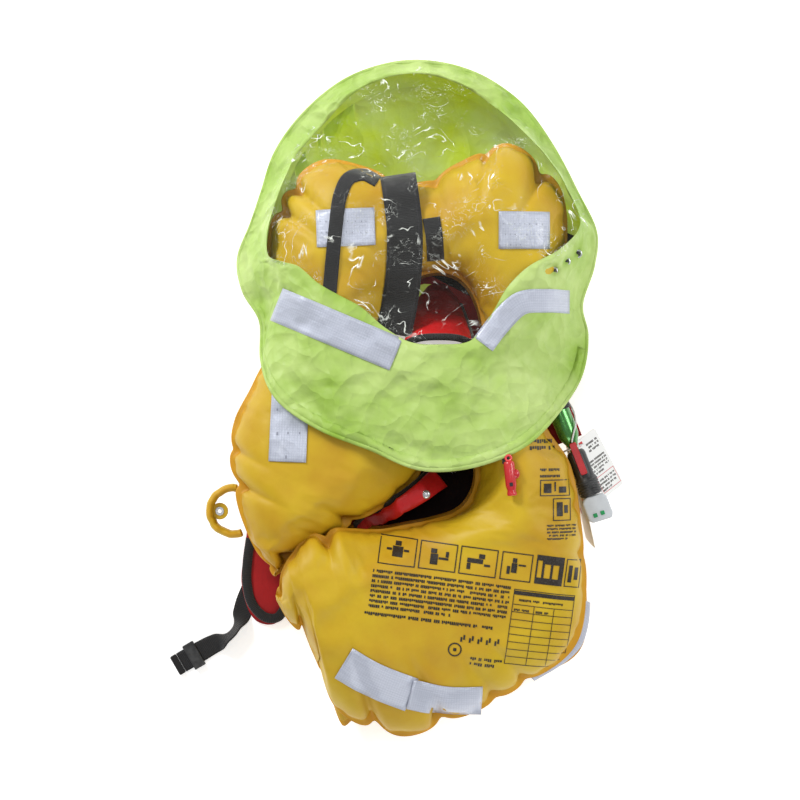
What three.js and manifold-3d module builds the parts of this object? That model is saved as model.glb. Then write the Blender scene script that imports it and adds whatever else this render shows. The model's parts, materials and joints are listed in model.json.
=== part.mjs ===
// Inflated life jacket with two air chambers, a folded-back cover, a harness, an automatic inflator
// and a spray hood drawn over the neck cushion. It lies on its back: +X to the right, +Y towards the
// head, +Z up from the floor. Millimetres.
import * as THREE from "three";
import { mergeVertices } from "three/addons/utils/BufferGeometryUtils.js";
import Module from "manifold-3d";

const wasm = await Module();
wasm.setup();

// ---- Driving dimensions ----
const jacketWidth = 465; // across the chest lobes
const jacketLength = 778; // neck cushion to chest end
const outerDepth = 142; // outer chamber, inflated
const innerDepth = 44; // inner chamber, half full
const fitGap = 0.4; // between pieces that touch
const laidGap = 0.7; // under a strap or tape laid on a curved piece
const webThick = 1.8; // woven strap
const clothThick = 1.6; // hood cloth
const windowThick = 0.8; // clear film
const windowLap = 7; // film sewn under the cloth
const hoodClear = 4; // hood above what it lies on
const coverThick = 4; // padded cover panels
const liningThick = 2.2;
const tapeThick = 0.8; // reflective tape
const tapeWidth = 48;
const beltWidth = 45; // waist belt
const crotchWidth = 28; // crotch strap
const loopWidth = 18; // lifting loop
const backWidth = 46; // back strap
const cylinderRadius = 14;
const cylinderLength = 118; // shoulder to base
const neckRadius = 6; // threaded neck
const bodyRadius = 15; // inflator body
const bodyLength = 62;
const headLength = 34; // sensing head
const headWidth = 33;
const headDepth = 25;
const leverWidth = 9;
const leverLength = 44;
const leverThick = 4;
const whistleRadius = 7;
const whistleLength = 49;
const oralRadius = 8;
const oralLength = 46;
const buckleThick = 8.4;
const cardWidth = 46;
const shortCard = 84;
const longCard = 150;
const cardThick = 0.8;
const tieRadius = 0.9; // loop that carries the cards
const cordRadius = 1.1; // pull cord of the lever

// ---- Levels, from the floor up ----
const coverLevel = webThick + fitGap;
const liningLevel = coverLevel + coverThick + fitGap;
const innerLevel = liningLevel + liningThick + fitGap;
const outerLevel = innerLevel + innerDepth + 2 * fitGap;
const rimLevel = outerLevel + outerDepth / 2; // welded rim of the outer chamber

// ---- Plan: outlines are drawn at a nominal size and scaled to the jacket ----
const nominalWidth = 465;
const nominalLength = 778;
const planX = (x) => (x * jacketWidth) / nominalWidth;
const planY = (y) => (y * jacketLength) / nominalLength;
const V = (x, y, z = 0) => new THREE.Vector3(x, y, z);
const P = (x, y, z = 0) => V(planX(x), planY(y), z);
const lerp = THREE.MathUtils.lerp;

// ---- Materials ----
const paint = (color, roughness, metalness = 0) =>
  new THREE.MeshStandardMaterial({ color, roughness, metalness });
const chamberYellow = paint(0xd9b528, 0.55);
const hoodLime = paint(0xb8e04a, 0.7);
const clearFilm = new THREE.MeshStandardMaterial({
  color: 0xf4faf0,
  roughness: 0.08,
  transparent: true,
  opacity: 0.2,
});
const coverRed = paint(0xb01c20, 0.75);
const webBlack = paint(0x0c0c0d, 0.8);
const liningDark = paint(0x1c0d10, 0.85);
const tapeSilver = paint(0xc4c9d6, 0.3, 0.4);
const whistleRed = paint(0xb8182a, 0.35);
const plasticBlack = paint(0x111214, 0.5);
const headGrey = paint(0xc2c5c9, 0.45);
const windowGreen = paint(0x138a4c, 0.3);
const cylinderGreen = paint(0x4f9a45, 0.28, 0.5);
const steel = paint(0xc9ccd0, 0.25, 0.9);
const cardWhite = paint(0xf2f2ef, 0.6);

const model = new THREE.Group();

function add(name, geometry, material, parent = model) {
  const mesh = new THREE.Mesh(geometry, material);
  mesh.name = name;
  parent.add(mesh);
  return mesh;
}

// ---- Closed surfaces ----
function closedBody(points, faces) {
  const geometry = new THREE.BufferGeometry().setFromPoints(points);
  let volume = 0;
  for (let i = 0; i < faces.length; i += 3) {
    const [a, b, c] = [0, 1, 2].map((k) => points[faces[i + k]]);
    volume += a.dot(b.clone().cross(c));
  }
  geometry.setIndex(volume < 0 ? faces.reverse() : faces);
  return geometry;
}

const centreOf = (row) =>
  row.reduce((sum, p) => sum.add(p), V(0, 0)).divideScalar(row.length);

// A skin stretched over closed rings of equal count; both ends are closed by a fan.
function skin(rings) {
  const n = rings[0].length;
  const last = rings.length - 1;
  const points = [...rings.flat(), centreOf(rings[0]), centreOf(rings[last])];
  const faces = [];
  for (let i = 0; i < last; i++)
    for (let j = 0; j < n; j++) {
      const [a, b] = [i * n + j, i * n + ((j + 1) % n)];
      faces.push(a, b, b + n, a, b + n, a + n);
    }
  const [first, end] = [points.length - 2, points.length - 1];
  for (let j = 0; j < n; j++) {
    const k = (j + 1) % n;
    faces.push(first, k, j, end, last * n + j, last * n + k);
  }
  return closedBody(points, faces);
}

// A sheet between two grids of points, its upper face and its lower one.
// `ring` joins each row end to end, and `filled` closes the last ring with a fan.
function shell(top, low, { ring = false, filled = false } = {}) {
  const [rows, cols] = [top.length, top[0].length];
  const points = [...top.flat(), ...low.flat()];
  const at = (side, i, j) => (side * rows + i) * cols + (j % cols);
  const faces = [];
  const quad = (a, b, c, d) => faces.push(a, b, c, a, c, d);
  const steps = ring ? cols : cols - 1;
  const end = rows - 1;
  for (let j = 0; j < steps; j++) {
    for (let i = 0; i < end; i++) {
      quad(at(0, i, j), at(0, i, j + 1), at(0, i + 1, j + 1), at(0, i + 1, j));
      quad(at(1, i, j), at(1, i + 1, j), at(1, i + 1, j + 1), at(1, i, j + 1));
    }
    quad(at(0, 0, j), at(1, 0, j), at(1, 0, j + 1), at(0, 0, j + 1));
    if (!filled) quad(at(0, end, j), at(0, end, j + 1), at(1, end, j + 1), at(1, end, j));
  }
  for (let i = 0; i < end && !ring; i++) {
    quad(at(0, i, 0), at(0, i + 1, 0), at(1, i + 1, 0), at(1, i, 0));
    const j = cols - 1;
    quad(at(0, i, j), at(1, i, j), at(1, i + 1, j), at(0, i + 1, j));
  }
  if (filled) {
    points.push(centreOf(top[end]), centreOf(low[end]));
    const [up, down] = [points.length - 2, points.length - 1];
    for (let j = 0; j < cols; j++) {
      faces.push(up, at(0, end, j), at(0, end, j + 1));
      faces.push(down, at(1, end, j + 1), at(1, end, j));
    }
  }
  return closedBody(points, faces);
}

// A sheet of even thickness, its lower face straight below its upper one unless `drop` says.
const slab = (top, thickness, { drop = V(0, 0, -1), ...ends } = {}) =>
  shell(top, top.map((row) => row.map((p) => p.clone().addScaledVector(drop, thickness))), ends);

// ---- Solids joined and cut ----
function manifoldOf(geometry) {
  const bare = new THREE.BufferGeometry().setAttribute("position", geometry.getAttribute("position"));
  if (geometry.index) bare.setIndex(geometry.index);
  const merged = mergeVertices(bare, 1e-4);
  return new wasm.Manifold(
    new wasm.Mesh({
      numProp: 3,
      vertProperties: merged.attributes.position.array,
      triVerts: new Uint32Array(merged.index.array),
    }),
  );
}

function geometryOf(manifold) {
  const mesh = manifold.getMesh();
  return new THREE.BufferGeometry()
    .setAttribute("position", new THREE.BufferAttribute(mesh.vertProperties, 3))
    .setIndex(new THREE.BufferAttribute(mesh.triVerts, 1));
}

const joined = (...parts) => geometryOf(parts.map(manifoldOf).reduce((a, b) => a.add(b)));
const cut = (body, ...tools) =>
  geometryOf(tools.map(manifoldOf).reduce((a, b) => a.subtract(b), manifoldOf(body)));

// ---- Simple shapes ----
const smooth = (points, closed = false) => new THREE.CatmullRomCurve3(points, closed, "centripetal");

// A flat panel with a smooth outline, from one level to another.
function panel(points, low, high, steps = 40) {
  const outline = smooth(points, true).getSpacedPoints(steps).slice(0, -1);
  const shape = new THREE.Shape(outline.map((p) => new THREE.Vector2(p.x, p.y)));
  return new THREE.ExtrudeGeometry(shape, { depth: high - low, bevelEnabled: false, curveSegments: 1 })
    .translate(0, 0, low);
}

// A box with rounded corners in plan, centred on the origin, from z 0 up.
function roundedBlock(x, y, z, radius) {
  const shape = new THREE.Shape();
  const [w, h] = [x / 2 - radius, y / 2 - radius];
  const corners = [[w, h, 0], [-w, h, 1], [-w, -h, 2], [w, -h, 3]];
  for (const [cx, cy, turn] of corners)
    shape.absarc(cx, cy, radius, (turn * Math.PI) / 2, ((turn + 1) * Math.PI) / 2);
  return new THREE.ExtrudeGeometry(shape, { depth: z, bevelEnabled: false, curveSegments: 4 });
}

const rod = (radius, length, sides = 16) =>
  new THREE.CylinderGeometry(radius, radius, length, sides).translate(0, length / 2, 0);

// A turned body about +Y; the profile is [radius, height] from the axis round to the axis.
const turned = (profile, sides = 20) =>
  new THREE.LatheGeometry(profile.map(([r, h]) => new THREE.Vector2(r, h)), sides);

// ---- Air chambers ----
// Stations along the horseshoe from the left lobe's tip, round the neck, to the right lobe's tip:
// [x, y] on the neck side, [x, y] on the outside, share of the full depth, and how far the inner
// chamber's rim stands out past the outer one's.
const stations = [
  [[-172, -232], [-186, -226], 0.25, -4],
  [[-150, -212], [-203, -196], 0.6, 0],
  [[-112, -184], [-226, -138], 0.88, 2],
  [[-66, -160], [-237, -80], 1, -4],
  [[-18, -128], [-230, -28], 1, -6],
  [[14, -92], [-206, 20], 0.97, -6],
  [[-16, -30], [-186, 68], 0.95, -6],
  [[-28, 35], [-180, 125], 0.95, -6],
  [[-26, 95], [-188, 185], 0.97, -6],
  [[-14, 135], [-172, 262], 0.97, -6],
  [[6, 156], [-118, 311], 0.97, -6],
  [[30, 164], [-55, 302], 0.92, -6],
  [[48, 163], [0, 283], 0.88, -6],
  [[66, 154], [60, 308], 0.92, -6],
  [[80, 136], [125, 334], 0.97, -6],
  [[90, 108], [190, 285], 0.97, -6],
  [[93, 78], [204, 215], 0.95, -6],
  [[92, 45], [186, 130], 0.92, -6],
  [[90, 8], [160, 62], 0.85, -6],
  [[86, -35], [157, 8], 0.85, -6],
  [[84, -80], [178, -38], 0.92, -4],
  [[80, -118], [208, -85], 0.97, -2],
  [[62, -143], [222, -160], 1, 0],
  [[30, -155], [229, -240], 1, 6],
  [[-5, -162], [215, -320], 1, 9],
  [[-40, -172], [150, -372], 1, 4],
  [[-75, -184], [60, -418], 1, -6],
  [[-102, -196], [-20, -440], 0.97, -8],
  [[-126, -209], [-95, -405], 0.93, 10],
  [[-146, -221], [-125, -340], 0.85, 4],
  [[-160, -232], [-150, -295], 0.7, -2],
  [[-170, -246], [-172, -268], 0.35, -4],
];
const chamberSteps = 54;
const sectionSides = 12;

const stationLine = (pick) => new THREE.CatmullRomCurve3(stations.map(pick));
const neckSide = stationLine(([a]) => P(...a));
const outside = stationLine(([, b]) => P(...b));
const depthAndPeek = stationLine(([, , share, peek]) => V(share, peek));

// Points of one cross-section, an ellipse between the neck side and the outside of a station.
function sectionAt(t, angles, level, depth, peekShare, grow = 0) {
  const [a, b, f] = [neckSide.getPoint(t), outside.getPoint(t), depthAndPeek.getPoint(t)];
  const across = b.clone().sub(a);
  const reach = across.length() / 2;
  across.normalize();
  const peek = f.y * peekShare;
  const middle = a.clone().add(b).divideScalar(2).addScaledVector(across, peek / 2);
  const half = [reach + peek / 2 + grow, (depth / 2) * Math.min(f.x, 1) + grow];
  return angles.map((angle) =>
    middle.clone()
      .addScaledVector(across, half[0] * Math.cos(angle))
      .setZ(level + depth / 2 + half[1] * Math.sin(angle)));
}
const fullTurn = Array.from({ length: sectionSides }, (_, k) => (2 * Math.PI * k) / sectionSides);
const chamber = (level, depth, peekShare) =>
  skin(Array.from({ length: chamberSteps + 1 }, (_, i) =>
    sectionAt(i / chamberSteps, fullTurn, level, depth, peekShare)));

const outerChamber = add("outer_chamber", chamber(outerLevel, outerDepth, 0), chamberYellow);
const innerChamber = add("inner_chamber", chamber(innerLevel, innerDepth, 1), chamberYellow);

// ---- Heights of what lies below a point ----
const ray = new THREE.Raycaster();
const skyLevel = 1000;
function heightAt(x, y, meshes, floor = 0) {
  ray.set(V(x, y, skyLevel), V(0, 0, -1));
  const hit = ray.intersectObjects(meshes, false)[0];
  return hit ? hit.point.z : floor;
}

// Raises a grid of a sheet's upper points until its underside clears the meshes between them too.
const settleSamples = [0, 0.25, 0.5, 0.75, 1];
const settlePasses = 5;
function settle(rows, thickness, meshes, lift, ring = false) {
  const cols = rows[0].length;
  for (let pass = 0; pass < settlePasses; pass++)
    for (let i = 0; i < rows.length - 1; i++)
      for (let j = 0; j < (ring ? cols : cols - 1); j++) {
        const k = (j + 1) % cols;
        const corners = [rows[i][j], rows[i][k], rows[i + 1][j], rows[i + 1][k]];
        for (const u of settleSamples)
          for (const v of settleSamples) {
            const weights = u > v ? [1 - u, u - v, 0, v] : [1 - v, 0, v - u, u];
            const q = V(0, 0);
            corners.forEach((p, n) => q.addScaledVector(p, weights[n]));
            const short = heightAt(q.x, q.y, meshes) + lift + thickness - q.z;
            if (short <= 0) continue;
            const spread = weights.reduce((sum, w) => sum + w * w, 0);
            corners.forEach((p, n) => p.setZ(p.z + (short * weights[n]) / spread));
          }
      }
  return rows;
}

// A strap or tape of constant width laid along a plan route, on the meshes or on a level.
// `bridge` carries it level across its width, as stiff webbing is.
function laidStrip(route, width, thickness, meshes, ways = {}) {
  const { steps = 12, cells = 4, bridge = false, level = 0 } = ways;
  const line = smooth(route);
  const rows = [];
  for (let i = 0; i <= steps; i++) {
    const [p, ahead] = [line.getPointAt(i / steps), line.getTangentAt(i / steps)];
    const side = V(-ahead.y, ahead.x).normalize();
    const row = Array.from({ length: cells + 1 }, (_, j) =>
      p.clone().addScaledVector(side, width * (j / cells - 0.5)));
    row.forEach((q) => q.setZ(Math.max(level, heightAt(q.x, q.y, meshes) + laidGap) + thickness));
    if (bridge) row.forEach((q, _, all) => q.setZ(Math.max(...all.map((r) => r.z))));
    rows.push(row);
  }
  return slab(settle(rows, thickness, meshes, laidGap), thickness);
}

// ---- Harness straps on the neck cushion ----
const backStrapRoute = [P(-17, 290), P(-12, 255), P(-8, 215), P(-9, 165), P(-14, 125), P(-22, 84)];
const backStrap = add(
  "back_strap",
  laidStrip(backStrapRoute, backWidth, webThick, [outerChamber], { bridge: true, steps: 16 }),
  webBlack,
);
const padRoute = [P(26, 232), P(30, 205), P(32, 178)];
add(
  "neck_pad",
  laidStrip(padRoute, 22, 3, [outerChamber, backStrap], { steps: 6, cells: 3 }),
  webBlack,
);
const loopRoute = [
  P(-42, 281), P(-60, 290), P(-79, 284), P(-90, 262), P(-96, 220), P(-101, 168), P(-105, 126),
];
const neckTapeRoute = [P(-121, 218), P(-84, 219.5), P(-46, 221)];

// ---- Reflective tapes on the outer chamber ----
const tapeOn = (name, route, width, steps, meshes = [outerChamber]) =>
  add(name, laidStrip(route, width, tapeThick, meshes, { steps }), tapeSilver);
const neckTapeLeft = tapeOn("neck_tape_left", neckTapeRoute, tapeWidth, 6);
tapeOn("neck_tape_right", [P(112, 216), P(145, 216), P(178, 216)], tapeWidth, 6);
tapeOn("lobe_tape_left", [P(-154, 20), P(-156, -30), P(-158, -80)], tapeWidth, 8);
const seamTape = tapeOn("lobe_tape_low_left", [P(-86, -337), P(-50, -358), P(-8, -377)], tapeWidth, 8);
tapeOn(
  "lobe_tape_low_right", [P(-7, -374), P(42, -384), P(88, -384)], tapeWidth - 10, 8, [outerChamber, seamTape],
);
add(
  "lifting_loop",
  laidStrip(loopRoute, loopWidth, webThick, [outerChamber, backStrap, neckTapeLeft], { steps: 18, cells: 2 }),
  webBlack,
);
// The side tape goes round the inner chamber's rim.
const sideTapeTurns = Array.from({ length: 9 }, (_, i) =>
  lerp(23.3, 24.9, i / 8) / (stations.length - 1));
const sideTapeAngles = Array.from({ length: 6 }, (_, i) => lerp(-0.25, 0.75, i / 5));
const sideTapeFace = (grow) =>
  sideTapeTurns.map((t) => sectionAt(t, sideTapeAngles, innerLevel, innerDepth, 1, grow));
const sideTapeLift = 1.6;
add("side_tape", shell(sideTapeFace(sideTapeLift + tapeThick), sideTapeFace(sideTapeLift)), tapeSilver);

// ---- Cover panels, opened out flat under the chambers ----
const coverTop = coverLevel + coverThick;
add(
  "cover_left",
  panel(
    [
      P(-214, -150), P(-222, -200), P(-226, -250), P(-208, -296), P(-182, -301), P(-163, -276),
      P(-120, -222), P(-70, -190), P(0, -132), P(-6, -60), P(-30, 20), P(-50, 56), P(-140, 58),
      P(-160, 0), P(-190, -80),
    ],
    coverLevel, coverTop,
  ),
  coverRed,
);
add(
  "cover_right",
  panel(
    [
      P(60, 54), P(60, -20), P(58, -70), P(24, -110), P(-10, -150), P(10, -196), P(90, -212),
      P(120, -262), P(180, -268), P(200, -200), P(190, -120), P(160, -40), P(140, 40), P(120, 56),
    ],
    coverLevel, coverTop,
  ),
  coverRed,
);
add(
  "cover_yoke",
  panel(
    [P(-150, 84), P(-60, 84), P(-40, 104), P(0, 150), P(50, 150), P(70, 106), P(80, 84), P(140, 84),
      P(166, 150), P(150, 250), P(60, 268), P(-60, 266), P(-140, 240), P(-160, 150)],
    coverLevel, coverTop,
  ),
  coverRed,
);
const liningTop = liningLevel + liningThick;
const lining = (name, points) => add(name, panel(points, liningLevel, liningTop, 30), liningDark);
lining("cover_lining_right", [
  P(66, 50), P(64, -40), P(62, -74), P(30, -112), P(0, -150), P(16, -186), P(90, -200), P(150, -180),
  P(150, -80), P(120, 0), P(100, 50),
]);
lining("cover_lining_yoke", [
  P(-110, 112), P(-46, 130), P(0, 172), P(50, 172), P(100, 130), P(120, 200), P(40, 236), P(-60, 236),
]);
lining("cover_lining_left", [
  P(-60, 40), P(-30, -20), P(-20, -84), P(-30, -118), P(-90, -156), P(-150, -180), P(-140, -80), P(-110, 20),
]);
// The bound edge of the cover's lower left corner.
const bindingRoute = [
  P(-214, -186), P(-218, -215), P(-219, -245), P(-212, -274), P(-194, -292), P(-178, -292), P(-166, -276),
];
add(
  "cover_binding",
  laidStrip(bindingRoute, 12, liningThick, [], { steps: 14, cells: 1, level: coverTop + fitGap }),
  webBlack,
);
// The cover's front edge stands up as a red fold in the slit between the lobes.
const foldHeight = 62;
const foldHalf = 7;
const foldStations = [[-70, -171, 0.25], [-44, -157, 0.7], [-14, -143, 1], [16, -124, 1], [40, -104, 0.8]];
const foldSection = ([x, y, share]) => {
  const [base, half, low] = [P(x, y), foldHalf * share + 1, liningTop + fitGap];
  const high = low + foldHeight * share;
  return [[-0.5, 1, low], [0.5, -1, low], [0.4, -0.3, high], [-0.1, 0.6, high]]
    .map(([dx, dy, z]) => base.clone().add(V(dx * half, dy * half, z)));
};
add("cover_fold", skin(foldStations.map(foldSection)), coverRed);
// The two halves of a press stud on the fold and the cover beside it.
const studRadius = 6;
const studPlace = P(33, -99, coverTop + 2 * fitGap + liningThick);
add(
  "press_stud",
  turned([[0, 0], [studRadius, 0], [studRadius, 1.6], [studRadius * 0.6, 3.4], [0, 3.4]], 20)
    .rotateX(Math.PI / 2).translate(studPlace.x + 24, studPlace.y + 6, studPlace.z),
  steel,
);
// The collar stands on the yoke and leans on the cushion, with a bound edge on its top.
const collarMiddle = 36;
const collarRow = ([y, z, half]) => [-1, -0.5, 0, 0.5, 1].map((k) =>
  P(collarMiddle + k * half, y - Math.abs(k) ** 3 * 10, z - Math.abs(k) * 4));
const collarLean = V(0, -0.35, -1).normalize();
const collarFoot = coverTop + coverThick + 3.2 + fitGap;
const collarStations = [[153, collarFoot, 17], [140, 42, 27], [114, 100, 36], [88, 150, 40]];
const collarRows = collarStations.map(collarRow);
add("collar_flap", slab(collarRows, coverThick, { drop: collarLean }), coverRed);
const bindingHeight = 9;
const [collarUnder, collarEdge] = collarRows.slice(-2);
const bindingRow = (reach) => collarEdge.map((p, i) =>
  p.clone().addScaledVector(p.clone().sub(collarUnder[i]).normalize(), reach));
add(
  "collar_binding",
  slab([bindingRow(fitGap), bindingRow(bindingHeight)], coverThick, { drop: collarLean }),
  webBlack,
);

// ---- Waist belt with its buckle, across the back ----
const beltY = planY(-240);
const buckleLength = 34;
const buckleWidth = beltWidth + 12;
const tongue = { length: 22, width: 30, thick: 4 };
const slotClear = 0.5;
const across = (x0, x1, width, low, high) =>
  new THREE.BoxGeometry(x1 - x0, width, high - low).translate((x0 + x1) / 2, beltY, (low + high) / 2);
const middleOfBuckle = buckleThick / 2;
add("waist_belt_left", across(planX(-184), -buckleLength - fitGap, beltWidth, 0, webThick), webBlack);
const socketSlot = across(
  -tongue.length - 2, 2, tongue.width + 2 * slotClear,
  middleOfBuckle - tongue.thick / 2 - slotClear, middleOfBuckle + tongue.thick / 2 + slotClear,
);
add("buckle_socket", cut(across(-buckleLength, 0, buckleWidth, 0, buckleThick), socketSlot), plasticBlack);
add(
  "buckle_tongue",
  joined(
    across(fitGap, buckleLength, buckleWidth, 0, buckleThick),
    across(
      -tongue.length, fitGap + 1, tongue.width,
      middleOfBuckle - tongue.thick / 2, middleOfBuckle + tongue.thick / 2,
    ),
  ),
  plasticBlack,
);
add("waist_belt_right", across(buckleLength + fitGap, planX(175), beltWidth, 0, webThick), webBlack);

// ---- Crotch strap, its tail out beside the lower left corner, with its slider ----
const tailStart = P(-205, -238);
const tailBend = P(-240, -314);
const tailEnd = V(-62, -36).normalize().multiplyScalar(78).add(tailBend);
const tailRise = 2.6; // the end runs through the slider at this level
const tailSteps = 22;
const tailLine = smooth([
  tailStart, P(-220, -270), P(-230, -298), tailBend, tailBend.clone().lerp(tailEnd, 0.5), tailEnd,
]);
const tailAhead = tailEnd.clone().sub(tailBend).normalize();
const tailRows = Array.from({ length: tailSteps + 1 }, (_, i) => {
  const [p, ahead] = [tailLine.getPointAt(i / tailSteps), tailLine.getTangentAt(i / tailSteps)];
  const side = V(-ahead.y, ahead.x).normalize();
  const along = p.clone().sub(tailBend).dot(tailAhead);
  const z = webThick + tailRise * THREE.MathUtils.smoothstep(along, -6, 12);
  return [-0.5, 0.5].map((k) => p.clone().addScaledVector(side, k * crotchWidth).setZ(z));
});
const strapEnd = new THREE.Group();
strapEnd.position.copy(tailEnd);
strapEnd.rotation.z = Math.atan2(tailAhead.y, tailAhead.x);
model.add(strapEnd);
add("crotch_strap", slab(tailRows, webThick), webBlack);
const hemLength = 9;
const hemHeight = 6;
add(
  "strap_end",
  new THREE.BoxGeometry(hemLength, crotchWidth, hemHeight)
    .translate(hemLength / 2 + fitGap, 0, hemHeight / 2),
  webBlack, strapEnd,
);
const sliderLength = 16;
const sliderAt = -20; // its middle, back from the strap's end
const sliderTop = tailRise + webThick + 3;
add(
  "strap_slider",
  cut(
    new THREE.BoxGeometry(sliderLength, crotchWidth + 8, sliderTop).translate(sliderAt, 0, sliderTop / 2),
    new THREE.BoxGeometry(sliderLength + 4, crotchWidth + 2, webThick + 2 * fitGap)
      .translate(sliderAt, 0, tailRise + webThick / 2),
  ),
  plasticBlack, strapEnd,
);

// ---- Inflator, along an axis that climbs past the right edge of the chamber ----
const inflator = new THREE.Group();
inflator.position.copy(P(235, -157, rimLevel - 8)).add(V(cylinderRadius, 0));
inflator.rotation.z = 0.375;
model.add(inflator);
inflator.updateMatrixWorld();
const inInflator = (geometry) => geometry.clone().applyMatrix4(inflator.matrixWorld.clone().invert());
const chamberBeside = inInflator(outerChamber.geometry).translate(fitGap, 0, 0);
const bodyBase = headLength + fitGap;
const ribPitch = 3.4;
const ribCount = 6;
const ribDepth = 1.2;
const ribStart = bodyBase + 2;
const ribEnd = ribStart + ribPitch * ribCount;
const ribProfile = [[-ribDepth, 0], [0, 0.6], [0, 2], [-ribDepth, 2.6]];
const ribs = Array.from({ length: ribCount }, (_, i) =>
  ribProfile.map(([r, h]) => [bodyRadius + r, ribStart + i * ribPitch + h])).flat();
const bodyTop = bodyBase + bodyLength;
const barrelRadius = bodyRadius - 2.5;
const barrel = turned([
  [0, bodyBase], [bodyRadius - ribDepth, bodyBase], ...ribs, [barrelRadius, ribEnd + 4],
  [barrelRadius, bodyTop - 5], [barrelRadius - 3, bodyTop], [0, bodyTop],
]);
const neckDepth = 9;
const neckHole = rod(neckRadius + fitGap, neckDepth + 2, 20).translate(0, bodyTop - neckDepth, 0);
const leverLevel = barrelRadius - 2.5;
const leverSeat = ribEnd + 6;
const recessLength = bodyTop - leverSeat + 2;
const leverRecess = new THREE.BoxGeometry(leverWidth + 1, recessLength, 12)
  .translate(0, leverSeat + recessLength / 2, leverLevel + 6);
add("inflator_body", cut(barrel, neckHole, leverRecess), plasticBlack, inflator);
// The manifold's stem joins the body to the chamber's rim.
const stemRadius = 5;
const stem = rod(stemRadius, 60, 14).rotateZ(Math.PI / 2)
  .translate(-barrelRadius - fitGap, ribEnd + 5 + stemRadius, 0);
add("manifold_stem", cut(stem, chamberBeside), plasticBlack, inflator);

// ---- Sensing head with its two status sights ----
const headCorners = [
  [-0.5, 4, 0], [-0.5, 0, 3], [0.5, 0, -6], [0.5, 6, 0], [0.5, headLength - 6, 0],
  [0.5, headLength, -3], [-0.5, headLength, 3], [-0.5, headLength - 4, 0],
];
const headShape = new THREE.Shape(headCorners.map(([k, y, dx]) => new THREE.Vector2(k * headWidth + dx, y)));
const headBlock = new THREE.ExtrudeGeometry(headShape, { depth: headDepth, bevelEnabled: false })
  .translate(0, 0, -headDepth / 2);
const sightSize = 5.4;
const sightDepth = 2;
const sights = [["status_sight_left", -6.4, 9], ["status_sight_right", 3.6, 9]];
const sightHoles = sights.map(([, x, y]) =>
  new THREE.BoxGeometry(sightSize + 2 * fitGap, sightSize + 2 * fitGap, 2 * sightDepth)
    .translate(x, y, headDepth / 2));
add("sensing_head", cut(headBlock, ...sightHoles), headGrey, inflator);
for (const [name, x, y] of sights) {
  const depth = sightDepth - fitGap;
  add(
    name,
    new THREE.BoxGeometry(sightSize, sightSize, depth).translate(x, y, headDepth / 2 - depth / 2),
    windowGreen, inflator,
  );
}

// ---- Manual lever in the body's recess, and its pull cord ----
const leverFoot = leverSeat + 1;
const leverEnd = leverFoot + leverLength;
const leverFace = leverLevel + fitGap;
add(
  "manual_lever",
  roundedBlock(leverWidth, leverLength, leverThick, 2).translate(0, leverFoot + leverLength / 2, leverFace),
  whistleRed, inflator,
);

// ---- Gas cylinder and what holds it ----
const cylinderBase = bodyTop + 8;
const cylinderEnd = cylinderBase + cylinderLength;
add(
  "gas_cylinder",
  turned(
    [
      [0, bodyTop - neckDepth + 1], [neckRadius, bodyTop - neckDepth + 1], [neckRadius, cylinderBase - 2],
      [cylinderRadius * 0.62, cylinderBase + 5], [cylinderRadius, cylinderBase + 14],
      [cylinderRadius, cylinderEnd - 10], [cylinderRadius * 0.86, cylinderEnd - 3],
      [cylinderRadius * 0.5, cylinderEnd], [0, cylinderEnd],
    ], 20,
  ),
  cylinderGreen, inflator,
);
const bandStart = cylinderBase + 48;
const bandWidth = 16;
const bandWall = 1.6;
const bandOuter = cylinderRadius + fitGap + bandWall;
add(
  "cylinder_band",
  cut(
    rod(bandOuter, bandWidth, 24).translate(0, bandStart, 0),
    rod(cylinderRadius + fitGap, bandWidth + 4, 24).translate(0, bandStart - 2, 0),
  ),
  webBlack, inflator,
);
// The red flap of the cover behind the cylinder.
const flapThick = 2;
const flapSize = { left: -24, right: 17, low: bodyTop + 15, high: cylinderEnd - 20 };
const flap = new THREE.BoxGeometry(flapSize.right - flapSize.left, flapSize.high - flapSize.low, flapThick)
  .translate(
    (flapSize.left + flapSize.right) / 2, (flapSize.low + flapSize.high) / 2,
    -bandOuter - fitGap - flapThick / 2,
  );
add("cylinder_flap", cut(flap, chamberBeside), coverRed, inflator);
// The pull cord runs from the lever's end up the cylinder's right side to the flap.
const cordLevel = -bandOuter - fitGap + cordRadius + fitGap;
const pullRoute = [
  [0, leverEnd + 2 * fitGap, leverFace + leverThick / 2], [1.2, leverEnd + 3.2, leverFace + 2.6],
  [3.4, leverEnd + 6.8, leverFace + 3.2], [6, leverEnd + 10.6, leverFace + 3.6],
  [8.8, leverEnd + 14.4, leverFace + 3.4], [11.8, leverEnd + 18.4, leverFace + 1.8],
  [14.4, leverEnd + 23, leverFace - 1.8], [16, leverEnd + 28, leverFace - 6],
  [17.2, leverEnd + 33, 0.2], [17.8, leverEnd + 38, -4], [17.8, leverEnd + 43, -8.4],
  [17.2, leverEnd + 47, -12], [16.4, leverEnd + 51.4, cordLevel], [15.6, leverEnd + 56, cordLevel],
  [15, leverEnd + 61, cordLevel],
];
const cordSection = new THREE.Shape().absarc(0, 0, cordRadius, 0, 2 * Math.PI);
add(
  "pull_cord",
  new THREE.ExtrudeGeometry(cordSection, {
    steps: 18, curveSegments: 4, extrudePath: smooth(pullRoute.map((p) => V(...p))),
  }),
  cardWhite, inflator,
);

// ---- Cards on a loop round the cylinder's neck ----
const loopReach = 14;
const loopY = bodyTop + 4;
const loopCentre = V(0, loopY, neckRadius + fitGap + tieRadius - loopReach);
add(
  "card_loop",
  new THREE.TorusGeometry(loopReach, tieRadius, 6, 22).rotateX(Math.PI / 2)
    .translate(...loopCentre.toArray()),
  cardWhite, inflator,
);
const cardHole = 1.6;
const cardEdge = 5.5; // hole to the nearest long edge
const cardHead = 7; // hole to the top edge
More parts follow.
